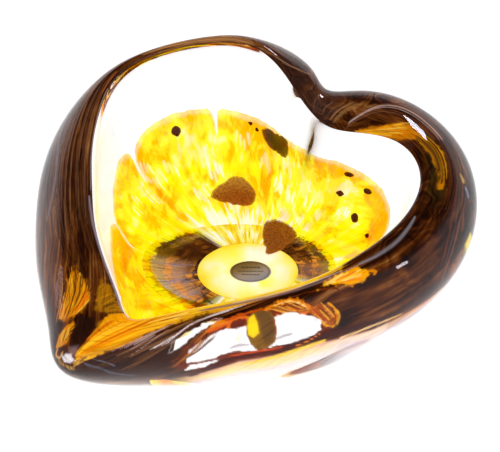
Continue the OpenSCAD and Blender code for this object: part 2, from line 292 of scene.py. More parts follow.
class Layer:
    """A closed colour layer under the casing, on a grid of the sheet, with a painted canvas."""

    def __init__(self, m, n, lo, hi, d0, d1, power=1.0):
        self.t = np.arange(m) / m * NS
        self.f = np.linspace(0, 1, n) ** power
        self.lo, self.hi = lo(self.t), hi(self.t)
        self.T = np.broadcast_to(self.t, (n, m))
        self.V = self.lo + (self.hi - self.lo) * self.f[:, None]
        self.P = sheet(self.T, self.V)
        self.d0, self.d1 = d0, d1
        self.paint = np.zeros((n, m, 3))
        # glow: emission strength per point, painted light that stands for light coming through the glass
        self.glow = np.zeros((n, m))
        self.alpha = np.ones((n, m))

    def flow(self, along, across, shear=0.0, seed=0, warp=0.0, warp_size=30.0):
        """Coordinates that run round the heart and across it, for streaks that join up at the tip."""
        th = self.T / NS * 2 * np.pi
        w = warp * fbm(self.P / warp_size, seed, 3) if warp else 0.0
        return np.stack([85 * np.cos(th) / along, 85 * np.sin(th) / along,
                         ((self.V + shear) * 10 + w) / across], -1)

    def near(self, path, reach):
        """Columns near a path, and their stations unrolled to match it."""
        lo, hi = path[:, 0].min() - reach * 0.06, path[:, 0].max() + reach * 0.06
        tt = lo + (self.t - lo) % NS
        return np.nonzero(tt <= hi)[0], tt

    def gap(self, cols, path, closed=False):
        """Distance in mm from each canvas point to a path on the sheet."""
        c = sheet(path[:, 0], path[:, 1])
        if closed:
            c = np.concatenate([c, c[:1]])
        p = self.P[:, cols]
        best = np.full(p.shape[:2], 1e9)
        where = np.zeros(p.shape[:2])
        for k in range(len(c) - 1):
            e = c[k + 1] - c[k]
            u = np.clip(((p - c[k]) @ e) / max(e @ e, 1e-9), 0, 1)
            d = ((p - c[k] - u[..., None] * e) ** 2).sum(-1)
            near = d < best
            where = np.where(near, (k + u) / (len(c) - 1), where)
            best = np.where(near, d, best)
        return np.sqrt(best), where

    def lay(self, cols, mask, colour, glow, alpha):
        mask = np.clip(mask, 0, 1)
        if colour is not None:
            old = self.paint[:, cols]
            self.paint[:, cols] = old + (np.asarray(colour) - old) * mask[..., None]
        if glow is not None:
            self.glow[:, cols] += (glow - self.glow[:, cols]) * mask
        if alpha is not None:
            self.alpha[:, cols] += (alpha - self.alpha[:, cols]) * mask

    def stroke(self, path, width, colour, glow=None, alpha=None, soft=0.5, value=1.0,
               ragged=0.0, size=2.0, seed=1, taper=0.7):
        """Lays colour along a smooth line of [t, v] points; width is the half-width in mm."""
        path = np.array(path, float)
        if len(path) > 2:
            seg = np.linspace(0, len(path) - 1, 5 * (len(path) - 1) + 1)
            i = np.minimum(seg.astype(int), len(path) - 2)
            f = (seg - i)[:, None]
            q = [path[np.clip(i + k, 0, len(path) - 1)] for k in (-1, 0, 1, 2)]
            path = 0.5 * (2 * q[1] + (q[2] - q[0]) * f + (2 * q[0] - 5 * q[1] + 4 * q[2] - q[3]) * f ** 2
                          + (3 * q[1] - q[0] - 3 * q[2] + q[3]) * f ** 3)
        cols, _ = self.near(path, width + 2)
        d, u = self.gap(cols, path)
        w = width * (1 - taper + taper * np.sin(np.pi * np.clip(0.04 + 0.92 * u, 0, 1)) ** 0.6)
        d = d / w
        if ragged:
            d = d + ragged * fbm(self.P[:, cols] / size, seed, 2)
        self.lay(cols, value * (1 - smooth(1 - soft, 1 + 0.01, d)), colour, glow, alpha)

    def patch(self, outline, colour, glow=None, alpha=None, soft=1.0, value=1.0, ragged=0.0, size=3.0, seed=1,
              streak=None):
        """Fills an outline of [t, v] points with a soft, ragged edge; soft and ragged are in mm."""
        path = np.array(outline, float)
        cols, tt = self.near(path, 3)
        d, _ = self.gap(cols, path, closed=True)
        x, y = np.broadcast_to(tt[cols], d.shape), self.V[:, cols]
        inside = np.zeros(d.shape, bool)
        q = np.roll(path, -1, 0)
        for (x0, y0), (x1, y1) in zip(path, q):
            if y0 != y1:
                inside ^= ((y0 > y) != (y1 > y)) & (x < (x1 - x0) * (y - y0) / (y1 - y0) + x0)
        d = np.where(inside, d, -d)
        if ragged:
            d = d + ragged * fbm(self.P[:, cols] / size if streak is None else streak[:, cols], seed, 3)
        self.lay(cols, value * smooth(-soft / 2, soft / 2, d), colour, glow, alpha)

    def strands(self, starts, ends, n, width, colours, seed, glow=None, alpha=None, bend=0.0, soft=0.7, value=0.9,
                spread=0.04, short=0.6):
        """Fine strands fanning from one line of [t, v] points to another."""
        rng = np.random.default_rng(seed)
        starts, ends = np.array(starts, float), np.array(ends, float)

        def along(line, x):
            x = np.clip(x, 0, 1) * (len(line) - 1)
            k = min(int(x), len(line) - 2)
            return line[k] + (line[k + 1] - line[k]) * (x - k)
        for k in range(n):
            x = rng.uniform(0, 1)
            a = along(starts, x + rng.normal(0, spread))
            b = along(ends, x + rng.normal(0, spread))
            lo, hi = rng.uniform(0, 0.35), rng.uniform(short, 1.0)
            side = np.array([-(b - a)[1] * 0.5, (b - a)[0] * 1.5]) * bend
            mid = (a + b) / 2 + side
            curve = [a + (mid - a) * 2 * lo if lo < 0.5 else mid, mid, a + (b - a) * hi if hi > 0.5 else b]
            self.stroke(curve, width * rng.uniform(0.5, 1.4), colours[k % len(colours)], glow, alpha, soft,
                        value * rng.uniform(0.6, 1.0))

    def build(self, name, back_rows=3):
        up = at_depth(self.T, self.V, self.d0)
        pick = np.linspace(len(self.f) - 1, 0, back_rows).round().astype(int)
        down = at_depth(self.T[pick], self.V[pick], self.d1)
        uv = np.stack(np.broadcast_arrays(self.T / NS, self.V / VMAX), -1)
        attrs = {"paint": np.concatenate([self.paint, self.paint[pick]]),
                 "glow": np.concatenate([self.glow, self.glow[pick]]),
                 "alpha": np.concatenate([self.alpha, np.where(self.alpha.min(0) < 0.98, 0.0, self.alpha[pick])]),
                 "flow": np.concatenate([self.grain, self.grain[pick]])}
        return closed_skin(name, np.concatenate([up, down]), np.concatenate([uv, uv[pick]]), attrs, wrap_rows=True)


def rgb(r, g, b):
    """A display colour, 0 to 255, as the linear value nodes use."""
    c = np.array([r, g, b]) / 255
    return np.where(c <= 0.04045, c / 12.92, ((c + 0.055) / 1.055) ** 2.4)


def shade(x, stops):
    """Colour ramp: stops are (position, colour)."""
    xs = [p for p, _ in stops]
    cs = np.array([c for _, c in stops])
    return np.stack([np.interp(x, xs, cs[:, k]) for k in range(3)], -1)


def flake(name, t0, v0, outline, d0, d1, centre, rim, top, rings=9):
    """A thin closed flake lying in the sheet. outline is radii in mm at even angles."""
    m = 72
    ang = np.arange(m) / m * 2 * np.pi
    r = np.interp(ang / (2 * np.pi) * len(outline), np.arange(len(outline) + 1), list(outline) + [outline[0]])
    r = r * (1 + 0.10 * fbm(np.stack([np.cos(ang) * 5 + t0, np.sin(ang) * 5, 0 * ang + v0], 1), 5, 3))
    e = 0.01
    pt = (sheet(t0 + e, v0) - sheet(t0 - e, v0)) / (2 * e)
    pv = (sheet(t0, v0 + e) - sheet(t0, v0 - e)) / (2 * e)
    a = pt / np.linalg.norm(pt)
    nrm = normal(t0, v0)
    b = np.cross(nrm, a)
    if b[2] < 0:
        b = -b
    jac = np.array([[pt @ a, pv @ a], [pt @ b, pv @ b]])
    inv = np.linalg.inv(jac)
    fr = np.sin(np.linspace(0.08, 1, rings) * np.pi / 2)
    pts, uv, paint, alpha = [], [], [], []
    for side, order in ((d0, fr), (d1, fr[::-1])):
        for f in order:
            x = r * f * np.cos(ang)
            y = r * f * np.sin(ang)
            dt, dv = inv @ np.array([x, y])
            edge = (d0 + d1) / 2 + (side - (d0 + d1) / 2) * (1 - 0.75 * f ** 4)
            pts.append(at_depth(t0 + dt, v0 + dv, edge))
            uv.append(np.stack([0.5 + x / 20, 0.5 + y / 20], 1))
            k = smooth(0.5, 1.0, f + 0.25 * fbm(np.stack([x, y, 0 * x], 1) / 2.5, 8, 3))[:, None]
            c = centre + (rim - centre) * k
            c = c + (top - c) * smooth(-0.3, 0.9, y / r.max() + 0.2 * fbm(np.stack([x, y, 0 * x], 1) / 4, 7, 3))[:, None]
            paint.append(c)
            alpha.append(np.full(m, float(np.interp(f, [0.86, 1.0], [1.0, 0.15]))))
    p0 = at_depth(t0, v0, d0)
    p1 = at_depth(t0, v0, d1)
    return closed_skin(name, np.array(pts), np.array(uv), {"paint": np.array(paint), "alpha": np.array(alpha)},
                       poles=(p0, p1))


glass = build_glass()

# the amber: petals of colour drawn up the wall, high in the cleft, low on the near wall
AMBER_TOP = [
    [0, 5.2], [0.7, 3.6], [1.4, 3.0], [3, 2.7], [8.2, 2.7], [8.5, 2.9], [8.75, 3.4], [8.9, 3.9], [9.2, 4.25], [9.9, 4.6], [10.8, 4.88],
    [11.9, 5.1], [12.8, 5.0], [13.8, 4.8], [14.5, 4.55], [15.2, 4.38], [16.1, 4.26], [17.0, 4.27], [17.5, 4.36],
    [17.64, 4.3], [17.70, 3.95], [17.77, 4.2], [17.9, 4.42], [18.9, 4.47], [19.5, 4.42], [20.0, 4.35],
    [20.45, 4.15], [20.58, 3.8], [20.66, 3.9], [20.75, 4.2], [21.0, 4.4], [21.5, 4.52], [22.3, 4.5],
    [22.9, 4.3], [23.08, 3.95], [23.2, 4.2], [23.6, 4.5], [24.2, 4.56], [25.0, 4.66], [25.5, 4.85],
    [26.0, 5.3], [26.5, 6.1], [27.0, 6.6], [27.5, 6.6], [28, 5.2]]


def ring_lo(t):
    return v_at_radius(t, oval(t, 22, 16, -1, -3))


def ring_hi(t):
    return v_at_radius(t, oval(t, 43, 26, -5.5, -1.5))


def amber_lo(t):
    return v_at_radius(t, oval(t, 39.5, 22.5, -5.0, -1.5))


def amber_hi(t):
    th = t / NS * 2 * np.pi
    p = np.stack([np.cos(th) * 30, np.sin(th) * 30, 0 * t], -1)
    return knots(t, AMBER_TOP) + 0.04 * fbm(p, 4, 3)


# ------------------------------------------------------------ the amber pool
YELLOW, PALE, GOLD, ORANGE = rgb(253, 246, 10), rgb(252, 253, 205), rgb(252, 205, 2), rgb(248, 150, 0)
pool = Layer(1120, 140, amber_lo, amber_hi, 1.5, 3.0)
pool.grain = pool.flow(2.2, 3.4, 0, 6, 3.0, 12.0)
CR, SR = math.cos(math.radians(34)), math.sin(math.radians(34))
Q = pool.P
side = Q[..., 0] * CR + Q[..., 1] * SR           # across the bowl
away = -Q[..., 0] * SR + Q[..., 1] * CR + Q[..., 2]   # up the far wall
turn = 1.15 * smooth(2, 45, side + 6 * fbm(Q / 30, 40, 2))
w = 5 * np.stack([fbm(Q / 16, 41, 3), fbm(Q / 16, 51, 3)], -1)
a = (side + w[..., 0]) * np.cos(turn) + (away + w[..., 1]) * np.sin(turn)
c = -(side + w[..., 0]) * np.sin(turn) + (away + w[..., 1]) * np.cos(turn)
streaks = fbm(np.stack([a / 3.2, c / 7, 0 * a + 3], -1), 42, 4, 0.6)
clouds = fbm(Q / 13, 43, 3)
fine = fbm(np.stack([a / 1.1, c / 4.5, 0 * a + 9], -1), 44, 2)
tone = 0.43 + 0.74 * streaks + 0.66 * clouds + 0.16 * fine
edge = (pool.hi - pool.V) * 10
tone = tone - (0.36 + 0.16 * smooth(8.0, 9.0, pool.T) * (1 - smooth(14.0, 15.5, pool.T))) * (1 - smooth(0.0, 11.0, edge + 3.0 * fbm(Q / 6, 9, 3)))
pool.paint = shade(tone, [(0.02, rgb(250, 160, 0)), (0.20, rgb(252, 205, 2)), (0.36, YELLOW), (0.58, YELLOW),
                          (0.70, rgb(252, 250, 110)), (0.84, rgb(253, 253, 225))])
for k, (t0, v0, r, val) in enumerate([
        (21.9, 4.25, 6, 0.7), (21.1, 3.95, 4, 0.6), (24.4, 3.1, 6, 0.9), (24.9, 3.9, 6, 0.7), (25.3, 3.0, 7, 0.8),
        (25.9, 2.6, 7, 0.8), (26.6, 2.5, 8, 0.7), (27.4, 2.5, 8, 0.7), (23.6, 4.1, 5, 0.6), (22.8, 3.6, 4, 0.7),
        (12.8, 4.95, 8, 0.9), (11.9, 4.95, 7, 0.9), (13.9, 4.65, 5, 0.7), (10.1, 4.25, 6, 0.9), (9.4, 3.6, 6, 0.9),
        (14.6, 4.4, 4, 0.6), (19.2, 4.3, 4, 0.5), (18.5, 4.35, 4, 0.5), (8.9, 3.2, 5, 0.8), (10.9, 4.75, 5, 0.8),
        (16.9, 4.15, 3, 0.4), (16.2, 4.15, 3, 0.4), (14.0, 2.3, 4, 0.5), (17.0, 1.9, 4, 0.5), (12.3, 2.6, 4, 0.5),
        (8.6, 2.6, 5, 0.6)]):
    for j in range(3):
        pool.stroke([[t0 - 0.2 + 0.11 * j, v0 - 0.12 * j], [t0 + 0.12 * j, v0 + 0.1 - 0.06 * j]], r * (0.9 - 0.25 * j),
                    (ORANGE, rgb(250, 170, 0), rgb(240, 120, 5))[j], soft=1.0, value=val * 0.85,
                    ragged=0.5, size=2.6, seed=k * 3 + j, taper=0.2)
for k, (t0, v0, r) in enumerate([(20.4, 3.5, 2.6), (20.1, 3.0, 2.0), (19.4, 3.1, 2.6), (18.6, 3.2, 2.4), (18.0, 2.7, 2.6),
                                 (16.9, 3.5, 2.2), (15.9, 3.2, 3.0), (15.0, 2.9, 3.0), (14.2, 3.0, 2.6), (13.4, 3.6, 3.0),
                                 (12.4, 3.7, 3.0), (11.9, 3.1, 3.0), (12.9, 2.6, 2.4), (10.9, 3.4, 2.4), (18.9, 2.2, 1.8),
                                 (20.9, 2.8, 1.8), (21.6, 3.2, 1.6), (17.6, 1.75, 1.8), (14.6, 3.8, 2.6)]):
    for j in range(4):
        dt, dv = 0.16 * (j - 1.5), 0.10 * ((j * 7 + k) % 3 - 1)
        pool.stroke([[t0 + dt, v0 + dv - 0.14], [t0 + dt * 0.8, v0 + dv + 0.16]], r * (0.30 + 0.12 * ((j + k) % 3)),
                    rgb(254, 254, 240), soft=0.9, value=0.75, ragged=0.45, size=1.8, seed=60 + k * 4 + j)
pool.paint = pool.paint + (rgb(254, 252, 190) - pool.paint) * (0.5 - 0.5 * smooth(0.1, 1.6, edge + 0.8 * fbm(Q / 2.5, 12, 2)))[..., None]
# pale flames where the amber starts, on the far side of the floor
th = pool.T / NS * 2 * np.pi
start = (pool.V - pool.lo) * 10
flame = start + 9 * fbm(np.stack([26 * np.cos(th), 26 * np.sin(th), start / 14], -1), 19, 3, 0.6)
front = smooth(12.6, 13.4, pool.T) * (1 - smooth(20.3, 21.0, pool.T))
pool.paint = pool.paint + (rgb(254, 254, 238) - pool.paint) * (0.95 * front * (1 - smooth(0.5, 4.5, flame)))[..., None]
for path, w_ in (([[20.62, 4.0], [20.6, 3.5], [20.4, 3.1]], 1.4), ([[17.7, 4.1], [17.72, 3.7]], 1.0),
                 ([[23.1, 4.1], [23.1, 3.5], [23.3, 3.0]], 1.1)):
    pool.stroke(path, w_, rgb(254, 254, 236), soft=0.8, ragged=0.3, size=1.5)
for k, (t0, v0) in enumerate([(24.5, 2.7), (25.1, 2.6), (25.7, 2.35), (26.3, 2.3), (27.0, 2.3), (23.9, 2.9)]):
    pool.stroke([[t0 - 0.5, v0 + 0.35], [t0, v0], [t0 + 0.6, v0 - 0.3]], 0.9, rgb(252, 225, 60) if k % 2 else rgb(244, 130, 0),
                soft=0.9, value=0.8, ragged=0.3)
amber = pool.build("amber_glass_pool")

# ------------------------------------------------------------- the dark ring
ringL = Layer(1120, 44, ring_lo, ring_hi, 3.2, 3.9)
ringL.grain = ringL.flow(1.2, 6.0, 0, 3, 2.0, 8.0)
T, V, Q = ringL.T, ringL.V, ringL.P
th = T / NS * 2 * np.pi
f = np.broadcast_to(ringL.f[:, None], T.shape)
comb = fbm(np.stack([42 * np.cos(th), 42 * np.sin(th), f * 2.0], -1), 14, 3, 0.6)
teeth = 0.86 + 0.12 * comb + 0.05 * fbm(Q / 9, 15, 2) 
left = smooth(20.3, 20.9, T + 0.35 * comb) * (1 - smooth(26.2, 28.0, T))
right = smooth(6.2, 7.4, T) * (1 - smooth(12.4, 12.9, T + 0.3 * comb))
dark = np.maximum(left, right) * (1 - smooth(-0.015, 0.02, f - teeth))
arcs = fbm(np.stack([9 * np.cos(th), 9 * np.sin(th), f * 9.0], -1), 16, 4, 0.6)
brown = shade(0.44 + 0.9 * arcs, [(0.1, rgb(36, 14, 4)), (0.45, rgb(70, 34, 8)), (0.62, rgb(104, 56, 12)),
                                 (0.88, rgb(170, 104, 24)), (1.06, rgb(230, 166, 44))])
# painted reflection: a lilac sheen on the left of the dark ring and a weaker brownish one on the right
lilac = smooth(22.9, 23.6, T) * (1 - smooth(25.4, 26.2, T))
brown = brown + (rgb(166, 140, 150) - brown) * (0.88 * lilac * smooth(0.0, 0.35, f + 0.3 * comb))[..., None]
lilac = smooth(6.6, 7.4, T) * (1 - smooth(8.2, 9.0, T))
brown = brown + (rgb(150, 110, 96) - brown) * (0.5 * lilac)[..., None]
wave = 0.5 + 0.5 * np.sin(f * 16 + 1.5 * arcs * 3)
band = smooth(22.6, 23.4, T) * (1 - smooth(26.5, 27.5, T)) + smooth(6.5, 7.2, T) * (1 - smooth(9.6, 10.4, T))
brown = brown + (rgb(232, 150, 50) - brown) * (0.85 * band * smooth(0.72, 0.95, wave))[..., None]
feather = shade(0.5 + 0.9 * fbm(np.stack([16 * np.cos(th), 16 * np.sin(th), f * 2.5], -1), 17, 3),
                [(0.2, rgb(246, 190, 30)), (0.45, rgb(252, 240, 70)), (0.65, rgb(253, 250, 190)), (0.85, rgb(254, 252, 235))])
ringL.paint = feather + (brown - feather) * dark[..., None]
outer = smooth(0.50, 0.75, f)[..., None] * (1 - dark)[..., None]
rim = shade(0.5 + fbm(Q / 5, 18, 3), [(0.2, GOLD), (0.45, YELLOW), (0.65, YELLOW), (0.85, rgb(253, 252, 160))])
ringL.paint = ringL.paint + (rim - ringL.paint) * outer * (0.35 + 0.65 * np.maximum(smooth(20.2, 20.8, T), 1 - smooth(12.9, 13.6, T)))[..., None]
ring = ringL.build("dark_floor_ring")

# -------------------------------------------------------------- the pale disc
discL = Layer(360, 40, lambda t: 0.12 + 0 * t, ring_lo, 3.2, 3.9)
discL.grain = discL.flow(3.0, 6.0)
Q, f = discL.P, np.broadcast_to(discL.f[:, None], discL.T.shape)
sd = Q[..., 0] * CR + Q[..., 1] * SR
aw = -Q[..., 0] * SR + Q[..., 1] * CR
cl = fbm(np.stack([sd / 7, aw / 9, 0 * sd], -1), 71, 3)
discL.paint = shade(0.55 + 0.55 * cl + 0.25 * smooth(-4, 10, sd) - 0.20 * smooth(0.7, 1.0, f),
                    [(0.15, rgb(252, 226, 40)), (0.38, rgb(253, 246, 80)), (0.60, rgb(253, 251, 140)),
                     (0.85, rgb(254, 253, 225))])
discL.paint = discL.paint + (rgb(246, 190, 20) - discL.paint) * (0.55 * smooth(0.955, 0.99, f))[..., None]
up = at_depth(discL.T, discL.V, 3.2)
pick = np.array([39, 20, 0])
down = at_depth(discL.T[pick], discL.V[pick], 3.9)
uv = np.stack([0.5 + Q[..., 0] / 60, 0.5 + Q[..., 1] / 60], -1)
disc = closed_skin("pale_floor_disc", np.concatenate([up, down]), np.concatenate([uv, uv[pick]]),
                   {"paint": np.concatenate([discL.paint, discL.paint[pick]]),
                    "flow": np.concatenate([discL.grain, discL.grain[pick]])},
                   poles=(MID + [0, 0, (FLOOR_Z - 3.2) * 0.001], MID + [0, 0, (FLOOR_Z - 3.9) * 0.001]))

# ------------------------------------------------------------------- the lip
# dark brown, streaked along its length, to just past the turn of the edge on
# the far side; on the near side it thins out into pale veils under the edge
LIP_END = [[0, 10.35], [1.4, 10.4], [2.2, 11.1], [3, 11.3], [4, 11.4], [5, 11.4], [6.0, 11.2], [7, 10.4], [8, 10.3],
           [9, 10.0], [12, 9.9], [14, 9.8], [16, 9.3], [18, 8.9], [20, 9.0], [21, 9.4], [22, 9.8], [23, 10.1],
           [24, 10.2], [26, 10.25], [28, 10.35]]
BROWN_END = [[0, 10.4], [1.0, 10.45], [1.5, 10.38], [2.0, 10.22], [2.5, 10.0], [3.0, 10.0], [3.5, 9.95], [4.1, 10.08],
             [4.6, 10.22], [5.5, 10.32], [6.3, 10.45], [7, 10.5], [22, 10.5], [28, 10.3]]


def lip_lo(t):
    return 7.0 + 0.04 * np.sin(t / NS * 2 * np.pi * 9)


def lip_hi(t):
    return knots(t, LIP_END)


SHEAR = [[0, 0], [0.5, 0], [4, 2.3], [8, 2.3], [14, 1.8], [20, 1.3], [25, 1.3], [27.9, 0], [28, 0]]
lip_ = Layer(1456, 118, lip_lo, lip_hi, 1.2, 2.6)
T, V, Q = lip_.T, lip_.V, lip_.P
sh = knots(T, SHEAR)
lip_.grain = lip_.flow(8.0, 0.6, sh, 12, 2.0, 24.0)
coarse = fbm(lip_.flow(34.0, 3.4, sh, 11, 2.0, 30.0), 21, 4, 0.55)
fine = fbm(lip_.flow(18.0, 0.7, sh, 12, 1.6, 24.0), 22, 3, 0.6)
blotch = fbm(Q / 11, 23, 3)
swirl = fbm(lip_.flow(14.0, 2.2, sh, 13, 22.0, 14.0), 24, 3, 0.55)
swirly = smooth(9.5, 11.5, T) * (1 - smooth(16.0, 17.5, T)) + 0.5 * smooth(4.5, 5.5, T) * (1 - smooth(8.5, 9.5, T))
tone = 0.44 + (0.55 * coarse + 0.48 * fine) * (1 - 0.6 * swirly) + 0.55 * swirl * swirly + 0.25 * blotch
tone = tone - 0.16 * smooth(4.2, 5.5, T) * (1 - smooth(8.5, 10.5, T)) + 0.26 * smooth(15.5, 17.0, T) * (1 - smooth(19.5, 20.5, T)) * (1 - smooth(8.6, 9.2, V))
lip_.paint = shade(tone, [(0.05, rgb(28, 10, 4)), (0.30, rgb(60, 25, 7)), (0.46, rgb(94, 44, 11)), (0.59, rgb(126, 66, 20)),
                          (0.74, rgb(166, 98, 38)), (0.92, rgb(206, 148, 84))])
# the whole lip glows a little: painted light standing for light coming through the glass
lip_.glow[:] = 0.35
# greyish brown in the cleft, a green-gold tint on the right
tint = (smooth(12.0, 13.0, T) * (1 - smooth(15.0, 16.0, T)) * smooth(-0.3, 0.5, blotch + 0.3))[..., None]
lip_.paint = lip_.paint + (rgb(92, 68, 60) - lip_.paint) * 0.45 * tint
tint = (smooth(6.8, 7.8, T) * (1 - smooth(8.6, 9.6, T)) * smooth(7.4, 7.8, V) * (1 - smooth(8.3, 8.7, V)))[..., None]
lip_.paint = lip_.paint + (rgb(92, 74, 22) - lip_.paint) * 0.6 * tint * smooth(-0.3, 0.3, swirl)[..., None]

AMB, AMB2, AMB3 = rgb(247, 168, 6), rgb(232, 142, 4), rgb(255, 196, 30)
RED, COPPER, MAUVE, CREAM = rgb(236, 96, 8), rgb(188, 110, 44), rgb(190, 160, 168), rgb(236, 214, 200)
DARK, DEEP = rgb(44, 18, 8), rgb(84, 20, 6)

# left of the tip: a flame of amber strands, and the horn beside the tip
lip_.patch([[26.95, 9.35], [26.7, 9.05], [26.4, 8.95], [26.1, 8.75], [25.9, 8.55], [26.1, 8.42], [26.4, 8.25], [26.8, 8.2],
            [27.05, 8.5], [27.1, 8.9], [27.05, 9.2]], AMB2, glow=0.75, soft=2.5, ragged=2.5, size=2.5, seed=3, value=0.9)
lip_.strands([[26.95, 9.4], [27.05, 9.2], [27.1, 8.95]], [[26.4, 9.3], [26.3, 8.95], [25.8, 8.6], [26.1, 8.35], [26.6, 8.15], [26.9, 8.3]],
             110, 0.42, [AMB, AMB3, AMB2, DARK, AMB, rgb(190, 104, 20), rgb(255, 210, 60), AMB, rgb(232, 128, 8)], 21, glow=0.85,
             bend=0.08, short=0.75)
lip_.strands([[26.95, 9.6], [27.1, 9.2], [27.1, 8.9]], [[25.6, 9.1], [25.5, 8.6], [26.0, 8.2], [26.6, 8.0]], 46, 0.4,
             [rgb(70, 32, 8), rgb(206, 122, 16), DARK, rgb(170, 96, 20), rgb(250, 170, 14)], 64, glow=0.6, bend=0.05)
lip_.strands([[27.1, 8.95], [27.05, 8.8]], [[26.75, 8.2], [26.5, 8.15]], 10, 0.6, [RED, rgb(255, 140, 20)], 22, glow=0.8)
lip_.strands([[26.95, 9.5], [26.8, 9.3]], [[25.4, 9.45], [25.6, 8.9]], 16, 0.35, [MAUVE, rgb(130, 84, 60), rgb(170, 100, 60)], 23, glow=0.4)
lip_.patch([[27.5, 9.65], [27.3, 9.45], [27.23, 9.15], [27.22, 8.95], [27.36, 8.88], [27.5, 9.1], [27.65, 9.35]],
           AMB2, glow=0.75, soft=1.2, ragged=0.8, size=1.6, seed=4)
lip_.strands([[27.55, 9.6], [27.6, 9.3]], [[27.25, 9.3], [27.3, 8.95]], 40, 0.35, [AMB3, AMB, rgb(180, 96, 14), AMB, rgb(100, 52, 10), rgb(255, 214, 90)], 24, glow=0.75)
lip_.strands([[27.35, 9.1], [27.6, 9.25]], [[27.3, 8.5], [27.8, 8.6]], 26, 0.4, [rgb(40, 16, 8), rgb(110, 66, 30), rgb(70, 34, 14)], 66, glow=0.4)
lip_.stroke([[27.55, 9.62], [27.62, 9.78], [27.75, 9.7], [27.72, 9.52]], 0.8, rgb(214, 160, 96), glow=0.7)
lip_.stroke([[27.6, 9.66], [27.68, 9.7]], 0.4, rgb(90, 50, 30), glow=0.3)
# the big amber wedge right of the tip, running out along the crest
WEDGE = [[28.15, 9.75], [28.25, 9.45], [28.4, 9.2], [28.55, 9.05], [28.8, 8.75], [29.0, 8.55], [29.2, 8.3], [29.5, 8.1],
         [30.0, 8.0], [30.6, 7.9], [31.2, 7.75], [31.2, 7.0], [27.6, 7.0], [27.5, 7.7], [27.62, 8.15], [27.85, 8.45],
         [28.0, 8.9], [28.05, 9.3]]
lip_.patch(WEDGE, AMB, glow=0.8, soft=1.4, ragged=1.6, size=2.2, seed=5, value=0.97)
lip_.strands([[28.1, 9.7], [28.02, 9.4]], [[29.2, 8.4], [29.6, 8.1], [29.8, 7.6], [29.3, 7.3], [28.5, 7.2], [27.7, 7.7]],
             140, 0.42, [AMB3, AMB2, rgb(222, 120, 4), rgb(255, 206, 50), AMB, AMB3, rgb(196, 98, 8)], 25, glow=0.9, short=0.75)
lip_.strands([[28.1, 9.6], [28.0, 9.2]], [[29.0, 8.6], [29.5, 8.2], [30.2, 8.0]], 24, 0.4, [rgb(110, 54, 10), rgb(255, 200, 40), AMB, AMB2], 65,
             glow=0.6, short=0.8)
lip_.strands([[28.7, 8.7], [28.4, 7.9]], [[31.0, 7.85], [30.8, 7.35]], 26, 0.5, [AMB3, rgb(255, 214, 90), AMB2, rgb(150, 70, 20)], 26, glow=0.8)
lip_.strands([[28.12, 9.85], [28.2, 9.7]], [[28.15, 9.4], [28.3, 9.3]], 14, 0.45, [rgb(226, 160, 50), rgb(120, 66, 14), rgb(250, 196, 80)], 27, glow=0.6)
# green-brown hollow between the flame and the wedge
lip_.patch([[26.4, 7.6], [27.0, 7.1], [27.6, 7.05], [27.5, 7.8], [27.2, 8.2], [26.8, 7.9]], rgb(176, 118, 14), glow=0.85,
           soft=3.0, ragged=3, size=3, value=0.92)
lip_.strands([[26.5, 7.2], [27.6, 7.1]], [[26.8, 8.1], [27.5, 7.9]], 26, 0.6, [rgb(190, 124, 16), rgb(110, 74, 14), rgb(214, 140, 10), rgb(90, 60, 20)], 61,
             glow=0.65, value=0.7)
lip_.patch([[29.4, 6.95], [32.6, 6.95], [32.5, 7.5], [31.5, 7.62], [30.5, 7.78], [29.4, 8.1]], rgb(246, 180, 14), glow=0.8,
           soft=1.5, ragged=1.2, size=2, value=0.92)
lip_.strands([[29.2, 8.1], [29.3, 7.1]], [[32.7, 7.6], [32.7, 7.0]], 46, 0.45, [rgb(255, 214, 40), rgb(255, 226, 80), rgb(226, 140, 8), rgb(250, 190, 20),
             rgb(170, 104, 30)], 62, glow=0.85)
lip_.patch([[27.15, 8.8], [27.45, 8.2], [27.75, 8.5], [27.95, 9.0], [27.85, 9.4], [27.6, 9.15], [27.4, 8.85]], rgb(58, 30, 20),
           glow=0.3, soft=1.6, ragged=1.2, value=0.92)
# painted highlight at the tip: a white spot with grey-lavender round it
lip_.patch([[27.75, 9.3], [27.9, 9.1], [28.02, 9.35], [27.95, 9.55]], rgb(150, 134, 140), glow=0.5, soft=2.0, value=0.6)
lip_.patch([[27.78, 9.62], [27.82, 9.45], [27.95, 9.42], [28.1, 9.55], [28.05, 9.68], [27.9, 9.7]], rgb(236, 228, 232), glow=0.9, soft=1.2,
           ragged=0.8, size=1.2, value=0.95)
lip_.strands([[27.7, 9.75], [28.15, 9.75]], [[27.8, 9.9], [28.2, 9.95]], 18, 0.4, [rgb(206, 146, 40), rgb(120, 70, 20), rgb(240, 190, 80)], 67, glow=0.6)
